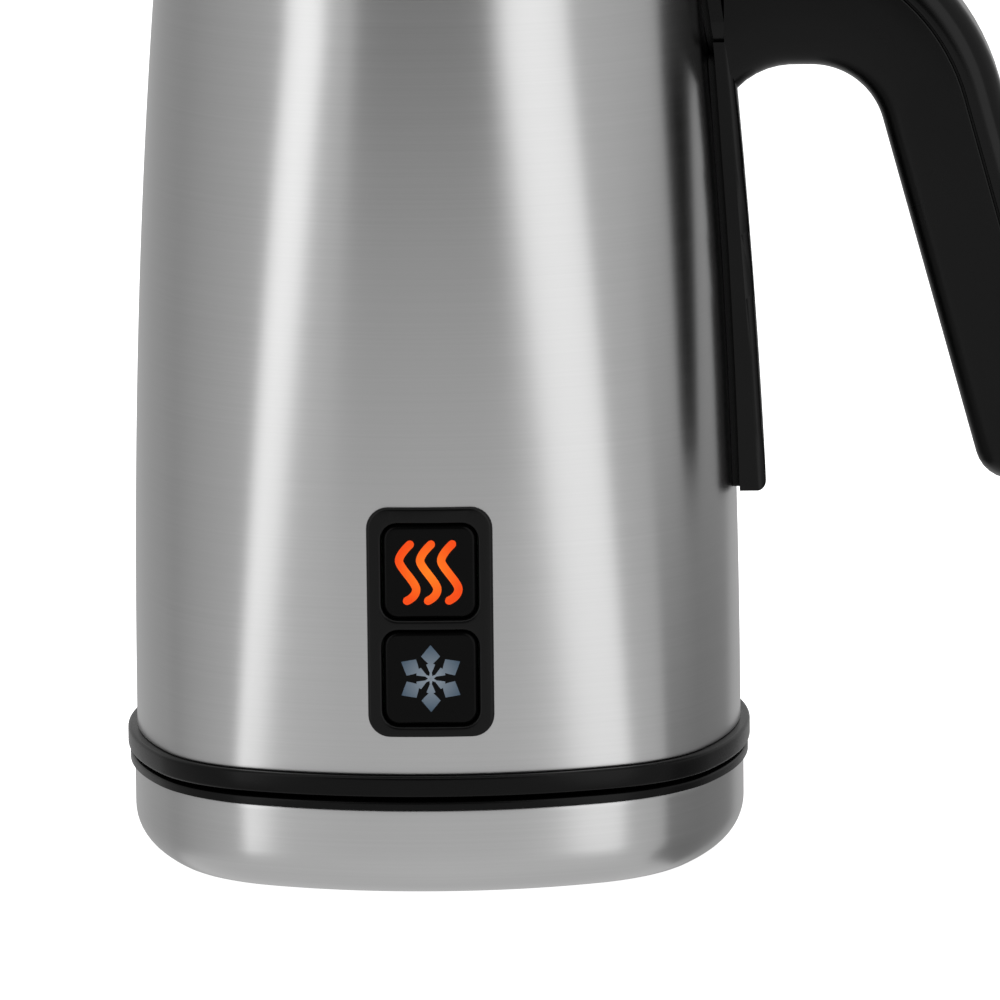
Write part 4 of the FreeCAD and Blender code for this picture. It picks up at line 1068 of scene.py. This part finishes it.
background = add_node(tree, "ShaderNodeBackground", {"Color": (1, 1, 1, 1), "Strength": level.outputs[0]})
add_node(tree, "ShaderNodeOutputWorld", {"Surface": background.outputs[0]})


# %% [markdown]
# ## The set's planes
# Only reflections see the two screens. One stands close in front and takes a little light from the
# steel between the two stripes, most of all near the top. The other is low down on the handle's
# side and darkens the edge of the steel there.


# %% Floor and screens
def set_plane(name, size, material):
    """Square plane of the set, no part of the object."""
    bm = bmesh.new()
    bmesh.ops.create_grid(bm, x_segments=1, y_segments=1, size=size)
    mesh = bpy.data.meshes.new(name)
    bm.to_mesh(mesh)
    bm.free()
    mesh.materials.append(material)
    plane = bpy.data.objects.new(name, mesh)
    bpy.context.scene.collection.objects.link(plane)
    return plane


def paper_floor():
    """White paper that glows a little where the camera sees it, so that it matches the background."""
    material, tree, output = new_material("white paper floor")
    rays = add_node(tree, "ShaderNodeLightPath")
    paper = add_node(tree, "ShaderNodeBsdfDiffuse", {"Color": linear("#F2F2F2")})
    shine = add_node(tree, "ShaderNodeEmission", {"Color": (1, 1, 1, 1), "Strength": 0.86})
    both = add_node(tree, "ShaderNodeAddShader", {0: paper.outputs[0], 1: shine.outputs[0]})
    pick = add_node(tree, "ShaderNodeMixShader", {0: rays.outputs["Is Camera Ray"], 1: paper.outputs[0],
                                                  2: both.outputs[0]})
    tree.links.new(pick.outputs[0], output.inputs["Surface"])
    return material


def dark_card(glow):
    """Even dark card for reflections."""
    material, tree, output = new_material("dark screen")
    shade = add_node(tree, "ShaderNodeEmission", {"Color": (1, 1, 1, 1), "Strength": glow})
    tree.links.new(shade.outputs[0], output.inputs["Surface"])
    return material


def stand_screen(azimuth, distance, height, width, tall, glow):
    """Upright screen that only reflections see."""
    screen = set_plane("screen", 0.5, dark_card(glow))
    screen.scale = (width, tall, 1.0)
    turn = math.radians(azimuth)
    screen.location = (distance * math.sin(turn), -distance * math.cos(turn), height)
    screen.rotation_euler = (math.radians(90), 0.0, turn)
    screen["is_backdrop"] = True
    screen.visible_camera = False
    screen.visible_diffuse = False
    screen.visible_shadow = False
    screen.visible_transmission = False


floor = set_plane("floor", 3.0, paper_floor())
floor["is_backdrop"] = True
floor.visible_glossy = False
stand_screen(-2.0, 0.55, 0.66, 0.56, 1.08, 0.13)
stand_screen(115.0, 0.40, -0.19, 0.50, 0.40, 0.30)

# %% Compare the boxes and finish
bpy.context.scene.view_settings.view_transform = "Standard"
new_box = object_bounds()
for name, box in (("packed box", cad_box), ("visual box", new_box)):
    print(name, [[round(value, 4) for value in corner] for corner in box])
